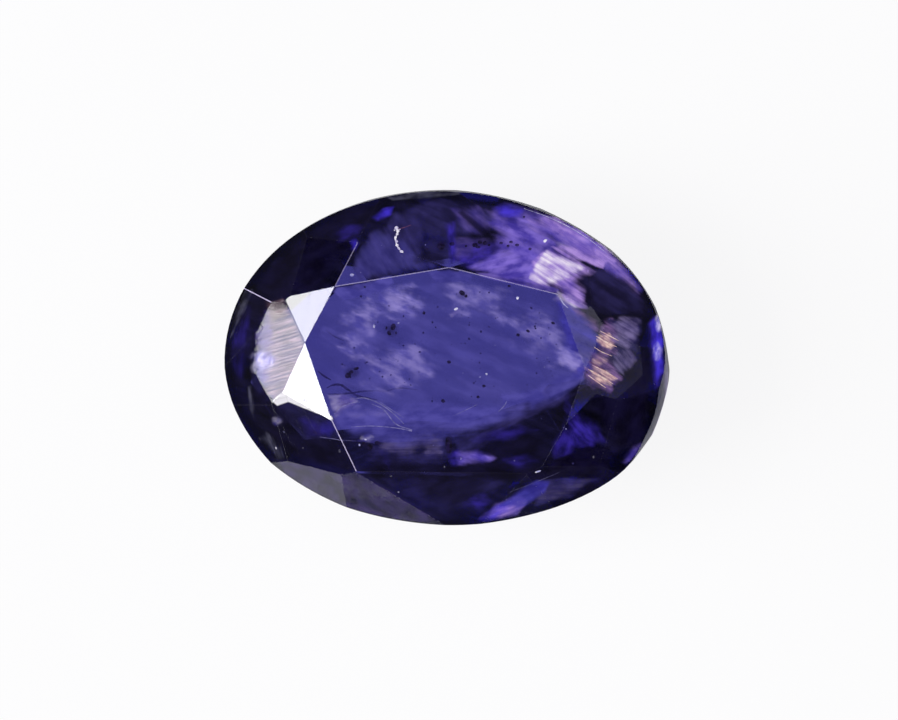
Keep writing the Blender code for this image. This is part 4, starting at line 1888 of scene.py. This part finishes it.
                ((276, 396), (284, 390), (291, 394), (290, 402), (277, 406.5), (271, 401)),
                1.5, 16, 0.0205, 1.0, 0.75,
            ),
        ),
    ),
    # Painted reflection: the nine o'clock main's cream gleam of the lamp, crossed by dark polishing streaks
    PaintedVeil(
        "painted_nine_reflections",
        PaintedVeilFinish("painted_nine_reflection", seen(52, 36, 46), seen(198, 170, 188), 0.96, 0.72, 20.0, 2.2, 0.5),
        (
            Patch(
                ((268, 303), (283, 298), (306, 344), (299, 366), (289, 393), (277, 402), (262, 392), (262, 340)),
                5, 16, 0.026, 1.0, 1.25,
            ),
        ),
    ),
    # Painted shade: brown-dark shading at the top of the nine o'clock main
    PaintedVeil(
        "painted_nine_shade",
        PaintedVeilFinish("painted_nine_shade", seen(44, 28, 44), seen(112, 84, 96), 0.92, 0.5, 20.0, 2.4, 0.6),
        (
            Patch(((263, 300), (284, 296), (293, 316), (284, 326), (266, 320)), 11, 16, 0.023, 1.0, 1.25),
        ),
    ),
    # Painted light: a violet glow along the nine o'clock main's left rim
    PaintedVeil(
        "painted_nine_glow",
        PaintedVeilFinish("painted_nine_glow", seen(84, 66, 160), seen(132, 112, 204), 0.85, 0.30, 16.0, 2.4, 0.6),
        (
            Patch(
                ((262, 306), (274, 308), (278, 340), (272, 380), (262, 388), (251, 366), (254, 330)),
                11, 16, 0.024, 0.8, 1.25,
            ),
        ),
    ),
    # Painted shade: dark sheets under the break facets at the lower left and the bottom
    PaintedVeil(
        "painted_break_shade",
        PaintedVeilFinish("painted_break_shade", seen(16, 10, 44), seen(56, 44, 98), 0.95, 0.2, 4.0, 2.6, 1.0),
        (
            Patch(((278, 460), (286, 461), (353, 475), (351, 512), (310, 494), (284, 474)), 2, -25, 0.018, 1.0, 1.25),
            Patch(((343, 476), (357, 471), (440, 521), (420, 522), (380, 517), (341, 508)), 2, -30, 0.0185, 1.0, 1.25),
        ),
    ),
    # Painted light: bright blue glows near the girdle and the table's rims
    PaintedVeil(
        "painted_deep_blues",
        PaintedVeilFinish("painted_deep_blue", seen(40, 28, 150), seen(78, 60, 238), 0.92, 0.12, 5.0, 2.0, 0.5),
        (
            Patch(((368, 218), (382, 207), (396, 205), (392, 216), (378, 223)), 6, 25, 0.0505, 1.0, 1.25),
            Patch(((443, 226), (456, 222), (459, 262), (448, 266)), 8, 90, 0.0485, 0.22, 1.5),
            Patch(((492, 206), (508, 200), (528, 208), (522, 222), (500, 220)), 9, 10, 0.0455, 0.7, 1.5),
            Patch(((648, 322), (656, 314), (666, 338), (665, 372), (656, 384), (650, 350)), 5, 80, 0.0555, 0.8, 1.5),
            Patch(((346, 240), (356, 236), (364, 244), (354, 254)), 6, 60, 0.0535, 0.45, 1.5),
            Patch(((318, 420), (332, 416), (340, 430), (330, 440), (318, 434)), 10, 0, 0.0495, 0.22, 1.5),
            Patch(((646, 446), (652, 452), (632, 472), (624, 466)), 5, 50, 0.0515, 0.5, 1.5),
            Patch(((472, 520), (494, 504), (514, 497), (524, 504), (508, 517), (486, 525)), 9, 18, 0.0565, 0.6, 1.5),
        ),
    ),
    # Painted reflection: grey glows along the girdle's edge
    PaintedVeil(
        "painted_girdle_greys",
        PaintedVeilFinish("painted_girdle_greys", seen(42, 42, 68), seen(132, 131, 158), 0.7, 0.4, 7.0, 2.2, 0.7),
        (
            Patch(((246, 386), (252, 384), (257, 408), (255, 426), (247, 410)), 5, -85, 0.027, 0.5, 1.25),
            Patch(((256, 438), (266, 430), (286, 444), (290, 461), (276, 462)), 9, -70, 0.0275, 0.6, 1.25),
            Patch(
                ((244, 290), (251, 286), (258, 294), (246, 314), (236, 345), (228, 345), (233, 312)),
                6, 65, 0.04, 0.9, 1.25,
            ),
            Patch(((384, 197), (420, 190), (462, 190), (460, 195), (426, 200), (392, 201)), 3, 10, 0.030, 0.6, 1.25),
        ),
    ),
)


@dataclass(frozen=True)
class Softbox:
    """A plain rectangular studio light, far enough away that it looks the same from the whole stone.

    Attributes:
        name: The light's name.
        towards: The direction from the stone to the light.
        half_width: Half the light's width, as a share of its distance.
        half_height: Half its height, as a share of its distance.
        radiance: How bright it looks.
        tint: Its colour.
        distance: How far away it is, in metres.
    """

    name: str
    towards: tuple[float, float, float]
    half_width: float
    half_height: float
    radiance: float
    tint: Colour = (1.0, 1.0, 1.0)
    distance: float = 0.4

    def build(self, target: Vector) -> None:
        """Makes the light.

        Args:
            target: The place that it faces, in metres.
        """
        data = bpy.data.lights.new(self.name, "AREA")
        data.shape = "RECTANGLE"
        data.size = 2 * self.half_width * self.distance
        data.size_y = 2 * self.half_height * self.distance
        data.energy = self.radiance * math.pi * data.size * data.size_y
        data.color = self.tint
        light = link_object(self.name, data)
        back = -Vector(self.towards).normalized()
        side = Vector((0.0, 0.0, 1.0)).cross(-back).normalized()
        light.matrix_world = matrix_of(side, (-back).cross(side), -back, target - back * self.distance)


@dataclass(frozen=True)
class Studio:
    """The pale floor, the soft lights and the dim room round them.

    Attributes:
        floor_glow: How bright the lit floor is.
        floor_colour: The floor's own colour under the lights.
        floor_centre: Where the middle of the panel that lights the stone lies, in metres.
        floor_radius: The radius of that panel.
        card_centre: Where the middle of the dim card below it lies, which the lower left facets mirror.
        card_radius: That card's radius.
        card_glow: How bright it is.
        backdrop_radius: The radius of the plain floor past it.
        floor_gap: How far the floor is under the stone's culet.
        card_gap: How far under the culet the card is.
        room: How bright the room is in reflections.
        tent: How bright the white tent overhead is.
        backdrop: How bright the backdrop looks behind the floor.
        tent_edge: How far from upright the tent fades out and ends, in degrees.
        tent_hole: How far from upright the camera's hole in it ends and is wholly open, in degrees.
        target: The place that the lights face, in metres.
    """

    floor_glow: float = 0.89
    floor_colour: Colour = (0.10, 0.10, 0.10)
    floor_centre: tuple[float, float] = (-0.004, -0.004)
    floor_radius: float = 0.013
    card_centre: tuple[float, float] = (-0.0065, -0.0168)
    card_radius: float = 0.0066
    card_glow: float = 0.36
    backdrop_radius: float = 0.40
    floor_gap: float = 0.00003
    card_gap: float = 0.00040
    room: Colour = (0.080, 0.075, 0.100)
    tent: Colour = (0.85, 0.82, 1.00)
    backdrop: Colour = (0.93, 0.93, 0.93)
    tent_edge: tuple[float, float] = (37.0, 32.0)
    tent_hole: tuple[float, float] = (11.0, 14.0)
    target: tuple[float, float, float] = (0.0, 0.0, 0.003)

    # The panels' faint unevenness, their roughness and how round they are
    CLOUDS_PER_METRE: ClassVar[float] = 30.0
    CLOUD_RAMP: ClassVar[tuple[float, ...]] = (0.3, 0.7, 0.995, 1.0)
    ROUGHNESS: ClassVar[float] = 0.9
    SIDES: ClassVar[int] = 96

    # How light sees a piece of the studio
    RAYS: ClassVar[tuple[str, ...]] = ("diffuse", "glossy", "transmission", "shadow")

    SOFTBOXES: ClassVar[tuple[Softbox, ...]] = (
        Softbox("key_softbox", (-0.832, -0.102, 0.545), 0.333, 0.38, 6.0),
        Softbox("fill_softbox", (0.72, 0.13, 0.68), 0.50, 0.27, 0.22),
    )

    def _floor_material(self, name: str, brightness: float) -> bpy.types.Material:
        """Makes the finish of a lit white panel, with a faint unevenness.

        Args:
            name: The material's name.
            brightness: How bright it is.

        Returns:
            The material.
        """
        material, graph = new_material(name)
        place = graph.node("ShaderNodeTexCoord", {}, {}, "Object")
        cloud = graph.noise(place, self.CLOUDS_PER_METRE).ramp(*self.CLOUD_RAMP)
        glow = graph.vector("SCALE", (brightness,) * 3, Scale=cloud)
        inputs = {
            "Base Color": (*self.floor_colour, 1.0),
            "Roughness": self.ROUGHNESS,
            "Emission Color": glow,
            "Emission Strength": 1.0,
        }
        graph.surface(graph.node("ShaderNodeBsdfPrincipled", {}, inputs))
        return material

    def _disc(
        self, name: str, radii: tuple[float, float], material: bpy.types.Material, place: tuple[float, float, float]
    ) -> bpy.types.Object:
        """Makes a flat disc or ring of floor.

        Args:
            name: Its name.
            radii: Its inner radius, or 0 for a disc, and its outer radius.
            material: Its finish.
            place: Its middle.

        Returns:
            The disc or ring.
        """
        disc = bmesh.new()
        rings = []
        x, y, z = place
        for radius in filter(None, radii):
            turns = (2 * math.pi * index / self.SIDES for index in range(self.SIDES))
            rings.append([disc.verts.new((x + radius * math.cos(t), y + radius * math.sin(t), z)) for t in turns])
        if len(rings) == 1:
            disc.faces.new(rings[0])
        else:
            for index in range(self.SIDES):
                after = (index + 1) % self.SIDES
                disc.faces.new((rings[0][index], rings[1][index], rings[1][after], rings[0][after]))
        disc.normal_update()
        made = mesh_object(name, disc, material)
        return made

    def _world(self) -> None:
        """Makes a pale backdrop behind a dim room."""
        world = bpy.data.worlds.new("studio")
        world.use_nodes = True
        bpy.context.scene.world = world
        graph = Graph(world.node_tree)
        towards = graph.node("ShaderNodeTexCoord", {}, {}, "Generated")
        height = graph.node("ShaderNodeSeparateXYZ", {}, {0: towards}, "Z")
        edges = (self.tent_edge, self.tent_hole)
        edge, hole = ([math.cos(math.radians(angle)) for angle in angles] for angles in edges)
        tent = height.ramp(*edge) * (1 - height.ramp(hole[1], hole[0]))
        lit = graph.blend(tent, self.room, self.tent)
        looked_at = graph.node("ShaderNodeLightPath", {}, {}, "Is Camera Ray")
        colour = graph.blend(looked_at, lit, self.backdrop)
        light = graph.node("ShaderNodeBackground", {}, {"Color": colour, "Strength": 1.0})
        graph.finish("ShaderNodeOutputWorld", Surface=light)

    def build(self) -> None:
        """Makes the floor, the backdrop and the lights."""
        material = self._floor_material("lit_panel", self.floor_glow)
        place = (*self.floor_centre, -self.floor_gap)
        self._disc("lit_floor", (0.0, self.floor_radius), material, place)
        backdrop = self._disc("outer_floor", (self.floor_radius, self.backdrop_radius), material, place)
        for ray in self.RAYS:
            setattr(backdrop, f"visible_{ray}", False)
        dimmed = self._floor_material("dim_card", self.card_glow)
        card = self._disc("dim_card", (0.0, self.card_radius), dimmed, (*self.card_centre, -self.card_gap))
        card.visible_camera = False
        card.visible_shadow = False
        self._world()
        for light in self.SOFTBOXES:
            light.build(Vector(self.target))


def set_light_paths() -> None:
    """Lets light cross the stone often enough, and shows colours as they are."""
    scene = bpy.context.scene
    scene.cycles.max_bounces = CROSSINGS
    scene.cycles.glossy_bounces = MIRRORINGS
    scene.cycles.transmission_bounces = CROSSINGS
    scene.cycles.transparent_max_bounces = CROSSINGS
    scene.view_settings.view_transform = "Standard"
    scene.view_settings.look = "None"


def main() -> None:
    """Builds the stone, what is in it and the studio, in that order."""
    logging.basicConfig(level=logging.INFO, format="%(name)s: %(message)s")
    sight = Sight()
    sight.camera()
    stone = Stone(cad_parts[STONE_NODE], sight)
    made = stone.build()
    log.info("%s: %d faces", made.name, len(made.data.polygons))
    depths = Depths(stone, sight)
    for part in (*PAINTED_VEILS, *GROWTHS, *PINPOINTS):
        made = part.build(depths)
        log.info("%s: %d faces", made.name, len(made.data.polygons))
    Studio().build()
    set_light_paths()


if __name__ == "__main__":
    main()
